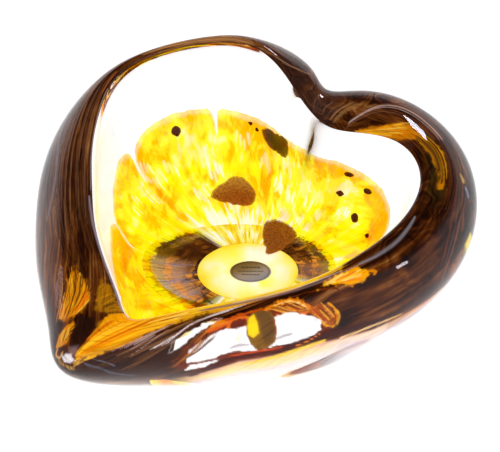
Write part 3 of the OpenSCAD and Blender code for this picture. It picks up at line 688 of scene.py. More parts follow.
# dark streaks under the wedge, with pale lines drawn through them
lip_.patch([[28.2, 9.8], [28.45, 9.3], [28.8, 8.95], [29.05, 8.65], [29.3, 8.4], [29.7, 8.2], [30.3, 8.15], [30.0, 8.6],
            [29.6, 9.0], [29.5, 9.6], [29.5, 10.2], [28.6, 10.25]], rgb(66, 32, 16), glow=0.3, soft=1.5, ragged=1.5, size=2, value=0.85)
lip_.strands([[28.2, 9.85], [28.5, 9.8], [28.9, 9.9]], [[29.6, 8.25], [29.8, 8.5], [29.6, 9.0]], 44, 0.4,
             [DARK, rgb(110, 60, 24), rgb(150, 96, 50), DARK, rgb(176, 120, 70), rgb(90, 44, 20)], 28, glow=0.4)
lip_.strands([[28.5, 9.3], [28.95, 9.4]], [[29.3, 8.2], [29.3, 8.6]], 9, 0.25, [MAUVE, rgb(214, 176, 150)], 29, glow=0.6)
for k in range(6):
    lip_.stroke([[29.15 + 0.05 * k, 9.3 - 0.02 * k], [29.45 + 0.03 * k, 8.95 - 0.05 * k], [29.62 + 0.04 * k, 8.62 - 0.05 * k],
                 [29.85 + 0.05 * k, 8.4 - 0.05 * k], [30.2 + 0.07 * k, 8.24 - 0.05 * k]], 0.42 - 0.04 * k,
                (CREAM, rgb(236, 230, 238), rgb(150, 110, 100))[k % 3], glow=0.8, value=0.9)
# painted reflection: bluish-lavender streaks along the lower edge near the tip
lip_.stroke([[28.3, 9.6], [28.55, 9.75], [28.75, 9.95], [29.0, 10.1]], 1.2, rgb(128, 134, 160), glow=0.55, soft=1.0, value=0.45, ragged=0.5)
lip_.stroke([[28.4, 9.45], [28.6, 9.55], [28.75, 9.7]], 0.5, rgb(160, 166, 190), glow=0.6, soft=1.0, value=0.45, ragged=0.5)
# clear windows in the near lip
SMALL = [[29.45, 9.5], [29.46, 9.2], [29.6, 8.95], [29.83, 8.72], [30.0, 8.55], [30.15, 8.6], [29.9, 8.85], [29.75, 9.1],
         [29.6, 9.35]]
WINDOW = [[29.75, 9.85], [29.75, 9.5], [29.9, 9.32], [30.05, 9.15], [30.25, 9.05], [30.4, 9.12], [30.6, 9.05], [30.9, 8.95],
          [31.1, 8.98], [31.25, 8.95], [31.4, 9.1], [31.58, 9.25], [31.72, 9.45], [31.7, 9.65], [31.5, 9.78], [31.35, 9.84],
          [31.05, 9.76], [30.75, 9.82], [30.55, 9.73], [30.35, 9.72], [30.1, 9.82], [29.9, 9.85]]
SLIVER = [[29.72, 10.1], [29.8, 9.95], [30.0, 9.92], [30.2, 9.9], [30.0, 10.03]]
# painted reflection: the ragged red-brown and orange border round the windows stands for the dark floor ring's serrated
# edge seen inside the wall
lip_.patch([[29.6, 10.0], [29.65, 9.4], [29.85, 9.1], [30.0, 8.85], [30.3, 8.7], [30.6, 8.65], [31.0, 8.5], [31.3, 8.55],
            [31.6, 8.95], [31.8, 9.35], [31.95, 9.45], [31.9, 9.7], [31.6, 9.85], [30.0, 10.1]], rgb(128, 46, 8), glow=0.5,
           soft=1.6, ragged=1.4, size=2, seed=7, value=0.9)
lip_.strands([[29.5, 9.9], [29.65, 9.6]], [[29.95, 8.8], [30.15, 8.6]], 22, 0.5, [rgb(200, 104, 20), DARK, rgb(232, 150, 50), rgb(130, 60, 14)],
             30, glow=0.6)
lip_.strands([[29.85, 9.2], [30.0, 8.75]], [[30.3, 8.95], [30.25, 8.6]], 18, 0.7, [rgb(236, 112, 10), rgb(220, 86, 6), rgb(250, 150, 20)], 31, glow=0.8)
for path, w_, col in (
        ([[30.3, 9.1], [30.28, 8.8], [30.4, 8.7], [30.55, 8.78], [30.58, 9.05], [30.45, 9.2]], 1.3, rgb(240, 110, 14)),
        ([[30.42, 8.98], [30.5, 8.92]], 1.1, rgb(110, 30, 6)),
        ([[30.2, 8.7], [30.5, 8.6], [30.9, 8.55]], 0.9, rgb(200, 80, 10)),
        ([[30.85, 8.6], [31.1, 8.45], [31.3, 8.5], [31.45, 8.7], [31.6, 9.05], [31.72, 9.35]], 1.7, rgb(246, 140, 16)),
        ([[31.0, 8.5], [31.25, 8.5], [31.42, 8.72], [31.55, 9.0]], 0.6, rgb(255, 206, 110)),
        ([[31.0, 8.85], [31.2, 8.85], [31.35, 8.95]], 1.2, rgb(150, 50, 8)),
        ([[31.05, 8.95], [31.1, 9.02], [31.22, 8.98]], 1.0, rgb(240, 130, 20)),
        ([[31.4, 9.02], [31.46, 9.15], [31.52, 9.05]], 1.2, rgb(236, 110, 16)),
        ([[31.7, 9.3], [31.76, 9.55], [31.92, 9.68], [32.02, 9.5], [31.98, 9.25], [31.9, 9.05]], 1.0, rgb(255, 176, 30)),
        ([[31.74, 9.5], [31.9, 9.6]], 0.5, rgb(255, 220, 120)),
        ([[31.3, 8.3], [31.7, 8.35], [32.1, 8.6], [32.2, 9.0]], 0.6, rgb(110, 46, 14))):
    lip_.stroke(path, w_, col, glow=0.8, soft=0.8, ragged=0.7, size=1.0, taper=0.5)
lip_.strands([[30.9, 8.6], [31.2, 8.45]], [[31.6, 9.1], [31.95, 9.3]], 26, 0.4, [rgb(250, 160, 30), rgb(120, 44, 8), rgb(255, 190, 70), rgb(200, 90, 10)],
             63, glow=0.8, bend=0.12)
for shape in (SMALL, WINDOW, SLIVER):
    lip_.patch(shape, rgb(250, 250, 252), glow=0.9, alpha=0.0, soft=0.7, ragged=0.7, size=1.6, seed=8)
lip_.strands([[29.55, 9.95], [29.7, 9.75]], [[30.0, 9.0], [30.15, 9.1], [30.05, 9.45]], 16, 0.42,
             [rgb(150, 70, 14), rgb(84, 36, 10), rgb(214, 130, 40), rgb(60, 24, 8)], 68, glow=0.6, alpha=1.0, bend=0.05, spread=0.08)
lip_.patch([[31.62, 9.05], [31.75, 8.95], [31.92, 9.15], [32.02, 9.5], [31.9, 9.7], [31.76, 9.55], [31.68, 9.3]], rgb(196, 92, 12),
           glow=0.7, soft=1.6, ragged=1.2, size=1.2, value=0.7)
lip_.strands([[31.6, 9.05], [31.8, 8.95]], [[31.8, 9.6], [32.0, 9.55]], 18, 0.4, [rgb(110, 40, 8), rgb(255, 190, 60), rgb(190, 80, 8)], 69, glow=0.8)
# the round-topped plug of colour standing in the window, with its soft shadows: a painted image of the label seen
# through the wall, its left side painted lit yellow, its right side in painted shade, and the soft shadows painted grey
lip_.patch([[30.42, 9.3], [30.48, 9.22], [30.5, 9.5], [30.42, 9.5]], rgb(255, 250, 170), glow=0.9, alpha=0.8, soft=1.5, value=0.8)
lip_.stroke([[30.35, 9.62], [30.48, 9.58], [30.62, 9.62]], 1.3, rgb(178, 168, 176), glow=0.6, alpha=0.8, soft=0.8)
lip_.stroke([[31.02, 9.6], [31.14, 9.57], [31.26, 9.57]], 1.3, rgb(172, 164, 170), glow=0.6, alpha=0.8, soft=0.8)
PAINTED_LABEL_IMAGE = [[30.55, 9.05], [30.56, 8.8], [30.65, 8.62], [30.8, 8.6], [30.92, 8.72], [31.0, 9.0], [31.03, 9.4], [31.0, 9.68],
        [30.88, 9.8], [30.74, 9.8], [30.64, 9.6], [30.57, 9.35]]
lip_.patch(PAINTED_LABEL_IMAGE, rgb(140, 96, 18), glow=0.7, alpha=1.0, soft=0.6, ragged=0.3, size=1)
lip_.patch([[30.57, 9.1], [30.58, 8.82], [30.66, 8.7], [30.72, 9.0], [30.76, 9.35], [30.68, 9.45], [30.6, 9.35]], rgb(250, 216, 10),
           glow=0.9, soft=1.0)
lip_.patch([[30.68, 8.66], [30.8, 8.63], [30.92, 8.78], [30.98, 9.1], [31.0, 9.4], [30.96, 9.65], [30.86, 9.72], [30.8, 9.4], [30.76, 9.0]],
           rgb(112, 74, 26), glow=0.6, soft=1.2, value=0.85)
lip_.stroke([[30.98, 9.05], [31.03, 9.4], [31.0, 9.65]], 0.4, rgb(196, 70, 20), glow=0.7)
lip_.stroke([[30.62, 9.6], [30.74, 9.8], [30.9, 9.78]], 0.35, rgb(236, 160, 130), glow=0.8)
# red-brown line along the edge, and under it amber and lilac veils: painted refraction and reflection colour in the
# clear edge, glowing, with painted floor light at their foot
veil = smooth(-0.02, 0.06, V - knots(T, BROWN_END)) * smooth(1.3, 2.2, T) * (1 - smooth(6.2, 6.9, T))
d = (V - knots(T, BROWN_END)) * 10
ripple = d + 1.1 * fbm(lip_.flow(22.0, 3.0, 0, 31, 6.0, 20.0), 33, 3)
refraction_veils = shade(ripple / 12, [(0.00, rgb(214, 120, 30)), (0.10, rgb(252, 196, 50)), (0.22, rgb(252, 204, 110)),
                            (0.30, rgb(232, 196, 176)), (0.40, rgb(196, 180, 200)), (0.54, rgb(240, 214, 196)),
                            (0.72, rgb(226, 214, 232)), (0.90, rgb(253, 250, 248))])
lip_.paint = lip_.paint + (refraction_veils - lip_.paint) * veil[..., None]
lip_.glow += (0.92 - lip_.glow) * veil
pastel = (smooth(3.4, 4.2, T) * smooth(0.0, 0.6, d + 2.0))[..., None] * veil[..., None]
pale = shade(ripple / 8, [(0.0, rgb(196, 120, 60)), (0.12, rgb(236, 190, 150)), (0.30, rgb(206, 188, 200)), (0.55, rgb(240, 220, 206)),
                          (0.9, rgb(232, 224, 238))])
lip_.paint = lip_.paint + (pale - lip_.paint) * pastel
fade = 0.85 - 0.85 * smooth(2.0, 7.0, ripple + 2.5 * smooth(3.5, 6.0, T))
# glowing near-white painted where the bright floor would show through the edge
painted_floor_light = smooth(3.0, 4.2, T) * smooth(3.0, 7.0, ripple)
lip_.paint = lip_.paint + (rgb(250, 245, 250) - lip_.paint) * (painted_floor_light * veil)[..., None]
lip_.alpha = lip_.alpha * (1 - veil * (1 - np.maximum(0.8 * fade, 0.72 * smooth(3.2, 4.4, T) * (1 - smooth(12.0, 15.0, ripple)))))
lip_.alpha = lip_.alpha * (1 - smooth(9.95, 10.05, V) * smooth(6.3, 6.5, T) * (1 - smooth(7.3, 7.5, T)))
lip_.stroke([[30.55, 10.12], [31.0, 10.06], [31.4, 10.0], [31.75, 9.98]], 1.5, rgb(254, 204, 24), glow=0.95, alpha=0.95, soft=0.8)
lip_.stroke([[32.0, 10.06], [32.6, 10.12], [33.2, 10.25]], 0.9, rgb(250, 190, 90), glow=0.9, alpha=0.8, soft=0.9)
lip_.stroke([[29.8, 10.32], [30.2, 10.0], [30.55, 9.86], [31.0, 9.88], [31.4, 9.84], [31.75, 9.82], [32.1, 9.9], [32.6, 10.02]],
            2.1, DEEP, glow=0.4, alpha=1.0, soft=0.5, ragged=0.3, taper=0.4)
lip_.stroke([[31.6, 9.86], [32.2, 9.95], [32.9, 10.08], [33.6, 10.2]], 2.2, rgb(70, 26, 10), glow=0.4, alpha=1.0, soft=0.7, ragged=0.3)
lip_.stroke([[30.35, 9.84], [30.6, 9.82], [31.0, 9.84], [31.1, 9.84]], 0.9, rgb(216, 76, 8), glow=0.8, alpha=1.0, soft=0.9)
lip_.stroke([[31.3, 9.9], [31.5, 9.86], [31.7, 9.76]], 0.5, rgb(240, 130, 40), glow=0.8, alpha=1.0, soft=0.9)
# the near crest: painted reflections, a thin grey-rose line over amber
lip_.stroke([[29.6, 7.75], [30.2, 7.8], [31.0, 7.88], [31.8, 7.92], [32.6, 7.95], [33.2, 8.08]], 0.8, rgb(150, 120, 118), glow=0.6, soft=0.9, value=0.8)
lip_.stroke([[30.2, 7.62], [31.0, 7.66], [31.8, 7.7], [32.4, 7.75]], 0.5, CREAM, glow=0.7, soft=0.9, value=0.7)
lip_.stroke([[28.6, 7.25], [29.4, 7.3], [30.4, 7.35], [31.2, 7.5], [31.9, 7.6]], 1.4, rgb(255, 214, 40), glow=0.85, soft=0.9, value=0.7)
# orange flower on the near crest
lip_.patch([[31.8, 8.3], [32.1, 7.95], [32.5, 7.85], [32.75, 8.05], [32.85, 8.4], [32.82, 8.72], [32.62, 8.85], [32.35, 8.75],
            [32.05, 8.35]], AMB, glow=0.85, soft=1.2, ragged=2.0, size=2, seed=9)
lip_.strands([[31.9, 8.2], [32.2, 8.4]], [[32.5, 7.95], [32.8, 8.3], [32.7, 8.75]], 22, 0.6, [AMB3, rgb(240, 120, 10), rgb(255, 220, 110)], 32, glow=0.85)
lip_.stroke([[32.85, 8.55], [32.95, 8.7], [32.9, 8.8]], 0.8, AMB2, glow=0.7, ragged=0.4, size=1)
# amber swirl on the right lobe
lip_.patch([[11.3, 7.0], [10.9, 7.5], [10.5, 8.05], [10.15, 8.4], [9.8, 8.3], [9.3, 8.35], [8.9, 8.55], [8.4, 8.6], [7.7, 8.35],
            [7.6, 8.15], [8.3, 8.1], [8.9, 7.95], [9.5, 7.75], [9.8, 7.3], [10.3, 7.0]], AMB2, glow=0.7, soft=2.0, ragged=2.6, size=3, seed=11,
           value=0.85)
lip_.strands([[11.4, 7.05], [10.9, 7.05]], [[9.9, 7.3], [9.8, 8.2], [10.2, 8.5]], 40, 0.6, [AMB3, AMB, rgb(255, 210, 80), rgb(150, 80, 20), AMB2], 33,
             glow=0.75, bend=0.03)
lip_.strands([[10.0, 8.3], [9.7, 7.7]], [[7.7, 8.5], [7.9, 8.0]], 60, 0.5, [AMB2, rgb(120, 66, 16), AMB3, DARK, rgb(190, 110, 20), rgb(84, 44, 14)], 34,
             glow=0.55, bend=-0.03)
lip_.patch([[9.9, 7.25], [9.6, 7.6], [9.3, 7.55], [9.3, 7.1], [9.7, 7.0]], rgb(96, 50, 34), glow=0.35, soft=2, ragged=1.5, value=0.8)
# pale ribbon and gold curls on the right lobe
for off, w_, col, val in ((0.0, 0.9, rgb(216, 178, 158), 0.95), (0.12, 0.5, rgb(120, 76, 60), 0.8), (-0.13, 0.4, rgb(232, 206, 196), 0.7),
                          (-0.3, 0.3, rgb(170, 96, 66), 0.7), (-0.42, 0.3, rgb(200, 150, 110), 0.5)):
    lip_.stroke([[11.75, 7.55 + off], [11.5, 8.2 + off], [11.25, 8.68 + off], [10.9, 8.95 + off], [10.5, 9.02 + off], [9.9, 8.95 + off],
                 [9.3, 8.9 + off]], w_, col, glow=0.55, soft=0.7, value=val)
lip_.strands([[12.9, 7.3], [12.3, 7.3]], [[12.2, 8.9], [11.6, 8.8]], 16, 0.3, [rgb(206, 152, 88), rgb(140, 100, 80), rgb(226, 178, 110),
             rgb(112, 84, 76)], 72, glow=0.55, bend=-0.10, value=0.8)
lip_.strands([[13.6, 7.2], [13.0, 7.2]], [[13.4, 8.8], [12.6, 8.9]], 14, 0.3, [rgb(130, 98, 84), rgb(96, 70, 60), rgb(160, 120, 92)], 73,
             glow=0.45, bend=-0.12, value=0.7)
for off, col in ((0.0, rgb(150, 60, 24)), (0.16, rgb(96, 70, 84)), (-0.14, rgb(60, 22, 12)), (0.3, rgb(176, 96, 50))):
    lip_.stroke([[8.0, 8.9 + off], [7.5, 9.0 + off], [7.0, 9.2 + off], [6.5, 9.5 + off], [6.2, 9.8 + off]], 0.9, col, glow=0.45, soft=0.9, value=0.65,
                ragged=0.5, size=2)
lip_.strands([[9.4, 8.6], [9.2, 9.2]], [[6.8, 8.6], [6.6, 9.6]], 40, 0.45, [rgb(120, 64, 24), rgb(70, 30, 10), rgb(150, 88, 40), rgb(40, 16, 8)], 71,
             glow=0.4, value=0.6)
# swirls down the left side of the cleft, a copper fleck, a golden far rim
for k in range(9):
    lip_.stroke([[16.6 - 0.16 * k, 7.25 + 0.05 * k], [15.9 - 0.12 * k, 7.5 + 0.07 * k], [15.1 - 0.06 * k, 7.95 + 0.06 * k],
                 [14.5 - 0.03 * k, 8.5 + 0.03 * k], [14.1, 8.95]], 0.3 + 0.05 * (k % 3),
                (rgb(196, 146, 104), rgb(120, 84, 64), rgb(214, 172, 130), rgb(70, 38, 24))[k % 4], glow=0.5, value=0.75)
lip_.stroke([[20.4, 7.5], [20.8, 7.45], [21.2, 7.42]], 0.9, rgb(176, 96, 48), glow=0.6, soft=0.9)
lip_.strands([[19.6, 7.3], [19.6, 8.1]], [[16.4, 7.2], [16.4, 8.2]], 40, 0.35, [rgb(214, 150, 96), rgb(172, 112, 82), rgb(120, 66, 36), rgb(232, 176, 96)],
             36, glow=0.5, short=0.8)
lip_.strands([[20.0, 7.3], [20.0, 9.0]], [[25.6, 7.3], [25.4, 9.4]], 70, 0.28, [rgb(120, 70, 40), rgb(90, 50, 34), rgb(150, 100, 66), rgb(60, 28, 14),
             rgb(180, 132, 96)], 74, glow=0.45, short=0.8, value=0.6, spread=0.02)
lip_.strands([[26.6, 7.2], [26.4, 8.6]], [[22.8, 7.3], [23.0, 9.2]], 40, 0.3, [rgb(40, 16, 8), rgb(140, 84, 44), rgb(80, 40, 18)], 75, glow=0.4,
             short=0.8, value=0.6, spread=0.02)
# painted reflection along the inner crest, left and right: grey bands
lip_.stroke([[24.2, 7.25], [25.2, 7.15], [26.0, 7.1], [26.8, 7.06], [27.5, 7.05]], 1.3, rgb(160, 146, 156), glow=0.65, soft=0.9, value=0.9)
lip_.stroke([[21.0, 7.1], [22.5, 7.1], [24.0, 7.12]], 0.6, rgb(200, 180, 176), glow=0.6, soft=0.9, value=0.6)
lip_.stroke([[6.6, 7.75], [6.2, 7.9], [5.7, 8.05], [5.2, 8.05], [4.8, 7.95]], 1.3, rgb(168, 160, 164), glow=0.55, soft=0.9, value=0.75)
# flecks of gold and blue at the right edge
lip_.stroke([[8.3, 9.1], [8.2, 9.2], [8.12, 9.2]], 1.6, rgb(206, 160, 74), glow=0.6, soft=0.9, ragged=0.4, size=1)
lip_.stroke([[8.05, 9.3], [7.95, 9.4], [7.85, 9.45]], 1.5, rgb(158, 164, 194), glow=0.6, soft=0.9, ragged=0.4, size=1, value=0.8)
lip_.stroke([[7.5, 9.35], [7.3, 9.5], [7.1, 9.65]], 1.4, rgb(150, 84, 44), glow=0.45, soft=1.0, value=0.7)
lip_.stroke([[9.2, 9.3], [8.6, 9.3], [8.3, 9.5]], 0.8, rgb(176, 130, 90), glow=0.45, soft=1.0, value=0.6)
# long lilac glint down the left side, brown at its heart
lip_.stroke([[21.8, 9.2], [22.5, 9.05], [23.2, 8.93], [23.8, 9.03], [24.4, 9.3]], 1.3, rgb(140, 128, 142), glow=0.5, soft=0.8, value=0.7)
lip_.stroke([[22.0, 9.4], [23.1, 9.3], [24.0, 9.5]], 0.8, rgb(130, 118, 130), glow=0.5, soft=0.9, value=0.5)
lip_.stroke([[22.2, 9.25], [22.9, 9.12], [23.4, 9.15]], 1.4, rgb(140, 76, 38), glow=0.4, soft=0.9, value=0.6)
lip = lip_.build("brown_lip_layer")

# dark chips set in front of the amber
chips = []
for k, (t0, v0, out) in enumerate([
        (18.9, 4.0, [2.6, 3.0, 3.0, 2.4, 2.2, 2.0, 2.6, 2.0]),
        (15.35, 4.05, [12.0, 5.0, 5.0, 10.0, 9.5, 5.0, 4.2, 7.5]),
        (16.6, 4.08, [1.3, 1.0, 0.8, 1.2, 1.0, 0.9, 1.1, 0.8]),
        (16.35, 3.98, [0.9, 1.2, 1.0, 0.8, 1.1, 0.9, 0.8, 1.0]),
        (11.2, 4.75, [2.4, 1.6, 1.2, 1.5, 2.3, 1.7, 1.3, 1.6]),
        (11.35, 4.1, [2.0, 1.5, 1.7, 1.6, 1.9, 1.5, 1.8, 1.4]),
        (10.33, 4.38, [2.0, 1.8, 1.5, 1.9, 2.1, 1.7, 1.6, 1.9]),
        (10.35, 3.4, [1.8, 2.0, 2.6, 1.9, 1.7, 2.1, 2.4, 1.8]),
        (9.35, 3.12, [1.2, 0.9, 1.3, 1.0, 1.1, 1.2, 0.9, 1.0])]):
    chips.append(flake("dark_chip_%d" % (k + 1), t0, v0, out, 0.75, 1.4, rgb(74, 26, 6), rgb(150, 78, 10),
                       rgb(92, 36, 8)))
# painted reflections of the label seen inside the glass: two soft brown flakes laid in front of the amber
label_reflections = [flake("painted_label_reflection_1", 17.3, 2.13, [11.5, 8.5, 9, 8.2, 9.8, 10.2, 7.5, 7.2], 0.8, 1.4, rgb(172, 92, 18),
               rgb(186, 104, 22), rgb(206, 148, 52)),
         flake("painted_label_reflection_2", 13.35, 1.38, [9, 9.5, 10.5, 7.8, 8, 13.5, 6.8, 6.8], 0.8, 1.4, rgb(160, 92, 30),
               rgb(176, 104, 26), rgb(170, 100, 20))]

# the little oval label: brushed foil with a thin border and plain bars
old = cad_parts["foil_label"]
P = np.array([old.matrix_world @ v.co for v in old.data.vertices]) * 1000.0
mid = (P.max(0) + P.min(0)) / 2
flat = P[:, :2] - mid[:2]
_, axes = np.linalg.eigh(flat.T @ flat)
ax = axes[:, 1] * (1 if axes[0, 1] > 0 else -1)
ay = np.array([-ax[1], ax[0]])
la, lb = np.abs(flat @ ax).max() - 0.01, np.abs(flat @ ay).max() - 0.01
z0, z1 = P[:, 2].min(), P[:, 2].max()
ang = np.arange(200) / 200 * 2 * np.pi
rings_ = [(f, z1 - 0.03 * (f > 0.995) + 0.0) for f in np.linspace(0.02, 1, 56)] + [(1.0, z0 + 0.03), (0.98, z0), (0.4, z0)]
pts, paint, uv = [], [], []
for f, z in rings_:
    x, y = la * f * np.cos(ang), lb * f * np.sin(ang)
    pts.append(np.stack([mid[0] + x * ax[0] + y * ay[0], mid[1] + x * ax[1] + y * ay[1], z + 0 * x], 1))
    u, w = x / la, y / lb
    col = shade(0.5 * u - 0.75 * w + 0.12 * fbm(np.stack([u * 2, w * 40, 0 * u], 1), 3, 3),
                [(-0.9, rgb(128, 92, 26)), (-0.3, rgb(160, 128, 72)), (0.2, rgb(188, 170, 148)), (0.8, rgb(172, 166, 168))])
    ink = np.exp(-((f - 0.90) / 0.025) ** 2) + 0 * u
    for y0, half, th_ in ((0.38, 0.50, 0.085), (0.02, 0.62, 0.055), (-0.30, 0.44, 0.055)):
        bar = (1 - smooth(th_ * 0.6, th_ * 1.2, np.abs(w - y0))) * (1 - smooth(half - 0.04, half + 0.03, np.abs(u)))
        ink = np.maximum(ink, bar * (0.55 + 0.45 * (np.sin(u * 34 + y0 * 20) > -0.55)))
    paint.append(col + (rgb(74, 58, 40) - col) * (0.75 * np.clip(ink, 0, 1))[:, None])
    uv.append(np.stack([0.5 + x / 40, 0.5 + y / 40], 1))
label = closed_skin("oval_foil_label", np.array(pts) * 0.001, np.array(uv), {"paint": np.array(paint)},
                    poles=(np.array([mid[0], mid[1], z1]) * 0.001, np.array([mid[0], mid[1], z0]) * 0.001))


# ---------------------------------------------------------------- materials
class Mat:
    def __init__(self, name, **values):
        self.mat = bpy.data.materials.new(name)
        self.mat.use_nodes = True
        self.nt = self.mat.node_tree
        self.nt.nodes.clear()
        out = self.nt.nodes.new("ShaderNodeOutputMaterial")
        self.b = self.nt.nodes.new("ShaderNodeBsdfPrincipled")
        self.nt.links.new(self.b.outputs[0], out.inputs[0])
        for k, v in values.items():
            self.set(k, v)

    def set(self, key, val):
        s = self.b.inputs[key.replace("_", " ")]
        if hasattr(val, "is_output"):
            self.nt.links.new(val, s)
        elif isinstance(val, tuple):
            s.default_value = (*val, 1) if len(val) == 3 else val
        else:
            s.default_value = val

    def attr(self, name, vector=False):
        n = self.nt.nodes.new("ShaderNodeAttribute")
        n.attribute_name = name
        return n.outputs["Vector" if vector else "Fac"]

    def noise(self, vec, scale=1.0, detail=4.0, rough=0.5, distort=0.0):
        n = self.nt.nodes.new("ShaderNodeTexNoise")
        n.inputs["Scale"].default_value = scale
        n.inputs["Detail"].default_value = detail
        n.inputs["Roughness"].default_value = rough
        n.inputs["Distortion"].default_value = distort
        self.nt.links.new(vec, n.inputs["Vector"])
        return n.outputs["Fac"]

    def ramp(self, fac, stops, smooth_=False):
        n = self.nt.nodes.new("ShaderNodeValToRGB")
        r = n.color_ramp
        if smooth_:
            r.interpolation = "EASE"
        while len(r.elements) < len(stops):
            r.elements.new(0.5)
        for e, (p, c) in zip(r.elements, stops):
            e.position = p
            e.color = (*c, 1) if len(c) == 3 else c
        self.nt.links.new(fac, n.inputs[0])
        return n.outputs[0]

    def mix(self, fac, a, b):
        n = self.nt.nodes.new("ShaderNodeMix")
        n.data_type = "RGBA"
        for s, v in ((n.inputs[0], fac), (n.inputs[6], a), (n.inputs[7], b)):
            if hasattr(v, "is_output"):
                self.nt.links.new(v, s)
            elif isinstance(v, tuple):
                s.default_value = (*v, 1)
            else:
                s.default_value = v
        return n.outputs[2]

    def multiply(self, fac, a, b):
        out = self.mix(fac, a, b)
        out.node.blend_type = "MULTIPLY"
        return out

    def math(self, op, a, b=0.0):
        n = self.nt.nodes.new("ShaderNodeMath")
        n.operation = op
        for s, v in ((n.inputs[0], a), (n.inputs[1], b)):
            if hasattr(v, "is_output"):
                self.nt.links.new(v, s)
            else:
                s.default_value = v
        return n.outputs[0]

    def coord(self):
        n = self.nt.nodes.new("ShaderNodeTexCoord")
        return n.outputs["Object"]


clear = Mat("clear_glass", Base_Color=(0.995, 0.992, 0.998), Transmission_Weight=1.0, Roughness=0.0, IOR=1.5,
            Specular_Tint=(0.35, 0.33, 0.36))
glass.data.materials.append(clear.mat)

def filter_mat(name, amount, size, lo, hi):
    """Coloured light filter: painted colour with fine streaks drawn through it."""
    m = Mat(name, Transmission_Weight=1.0, Roughness=0.0, IOR=1.0)
    n = m.noise(m.attr("flow", True), size, 5, 0.6, 0.3)
    g = m.ramp(n, [(0.30, lo), (0.50, (1.0, 1.0, 1.0)), (0.72, hi)])
    m.set("Base_Color", m.multiply(amount, m.attr("paint", True), g))
    return m.mat


amber.data.materials.append(filter_mat("amber_glass", 0.8, 1.0, (1.0, 0.80, 0.35), (1.0, 1.0, 1.0)))
ring.data.materials.append(filter_mat("dark_ring", 0.9, 1.0, (0.45, 0.35, 0.25), (1.0, 1.0, 1.0)))
disc.data.materials.append(filter_mat("pale_disc", 0.5, 0.8, (1.0, 0.95, 0.6), (1.0, 1.0, 1.0)))

m = Mat("brown_lip", Roughness=0.5, IOR=1.0, Specular_IOR_Level=0.0)
n = m.noise(m.attr("flow", True), 1.0, 5, 0.6, 0.3)
g = m.ramp(n, [(0.28, (0.40, 0.36, 0.34)), (0.50, (0.95, 0.95, 0.95)), (0.70, (1.0, 1.0, 1.0))])
col = m.multiply(0.85, m.attr("paint", True), g)
m.set("Base_Color", col)
# emission is painted light: the painted colour glows to stand for light coming through the glass
m.set("Emission_Color", col)
m.set("Emission_Strength", m.attr("glow"))
m.set("Alpha", m.attr("alpha"))
lip.data.materials.append(m.mat)

# emission is painted light, on the chips and the painted label reflections alike
m = Mat("chip", Roughness=0.6, IOR=1.0, Specular_IOR_Level=0.0, Emission_Strength=0.75)
n = m.noise(m.coord(), 900, 4, 0.6)
col = m.multiply(0.8, m.attr("paint", True), m.ramp(n, [(0.35, (0.45, 0.38, 0.30)), (0.6, (1.0, 1.0, 1.0))]))
m.set("Base_Color", col)
m.set("Emission_Color", col)
m.set("Alpha", m.attr("alpha"))
for ob in chips + label_reflections:
    ob.data.materials.append(m.mat)

# emission is painted light: the label glows a little as if lit through the glass
m = Mat("foil", Roughness=0.45, Metallic=0.2, Emission_Strength=0.55)
m.set("Base_Color", m.attr("paint", True))
m.set("Emission_Color", m.attr("paint", True))
label.data.materials.append(m.mat)

for ob in [glass, amber, ring, disc, lip, label] + chips + label_reflections:
    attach(ob, "root")
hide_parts("clear_body", "clear_overlay", "foot_disc")
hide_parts("amber_pool")
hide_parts("brown_spots")
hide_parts("base_ring")
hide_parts("foil_label")
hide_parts("floor_disc")
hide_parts("brown_lip", "amber_trails")

# -------------------------------------------------------------------- stage
bpy.ops.mesh.primitive_plane_add(size=6, location=(0, 0, -0.0002))
floor = bpy.context.object
floor.name = "floor"
m = Mat("floor", Base_Color=(0.8, 0.8, 0.8), Roughness=1.0, Emission_Color=(1.0, 1.0, 1.0), Emission_Strength=1.0)
floor.data.materials.append(m.mat)

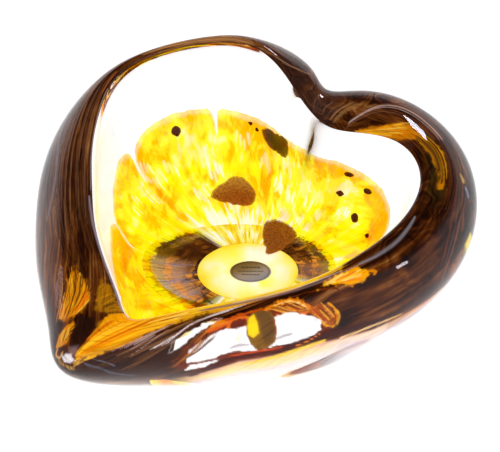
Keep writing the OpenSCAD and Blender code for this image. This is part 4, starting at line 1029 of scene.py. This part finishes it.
world = bpy.data.worlds.new("world")
bpy.context.scene.world = world
world.use_nodes = True
nt = world.node_tree
nt.nodes.clear()
wout = nt.nodes.new("ShaderNodeOutputWorld")
bg = nt.nodes.new("ShaderNodeBackground")
tc = nt.nodes.new("ShaderNodeTexCoord")
sep = nt.nodes.new("ShaderNodeSeparateXYZ")
ramp = nt.nodes.new("ShaderNodeValToRGB")
nt.links.new(tc.outputs["Generated"], sep.inputs[0])
nt.links.new(sep.outputs["Z"], ramp.inputs[0])
nt.links.new(ramp.outputs[0], bg.inputs[0])
nt.links.new(bg.outputs[0], wout.inputs[0])
el = ramp.color_ramp.elements
el[0].position = 0.21
el[0].color = (1, 1, 1, 1)
el[1].position = 0.42
el[1].color = (0.03, 0.028, 0.032, 1)
e = el.new(0.30)
e.color = (0.30, 0.26, 0.32, 1)
bg.inputs["Strength"].default_value = 1.0


def softbox(name, direction, dist, size, power, colour=(1, 1, 1)):
    d = Vector(direction).normalized()
    li = bpy.data.lights.new(name, "AREA")
    li.shape = "RECTANGLE"
    li.size, li.size_y = size
    li.energy = power
    li.color = colour
    ob = bpy.data.objects.new(name, li)
    ob.location = d * dist
    ob.rotation_euler = d.to_track_quat("Z", "Y").to_euler()
    bpy.context.scene.collection.objects.link(ob)
    return ob


softbox("lobe_light", (-0.25, 0.82, 0.51), 1.6, (0.15, 0.13), 1.5, (0.86, 0.86, 1.0))
softbox("near_light", (0.97, 0.13, 0.22), 1.6, (0.14, 0.10), 1.2)

cam_data = bpy.data.cameras.new("camera")
cam = bpy.data.objects.new("camera", cam_data)
bpy.context.scene.collection.objects.link(cam)
cam_data.lens = 100
cam_data.sensor_width = 36
cam_data.clip_start = 0.01
cam.location = (0.2237, -0.3147, 0.4775)
cam.rotation_euler = (math.radians(90 - 48), 0, math.radians(34))
bpy.context.scene.camera = cam

sc = bpy.context.scene
sc.view_settings.view_transform = "Standard"
sc.view_settings.look = "None"
sc.cycles.max_bounces = 32
sc.cycles.transmission_bounces = 32
sc.cycles.transparent_max_bounces = 16
sc.cycles.glossy_bounces = 8
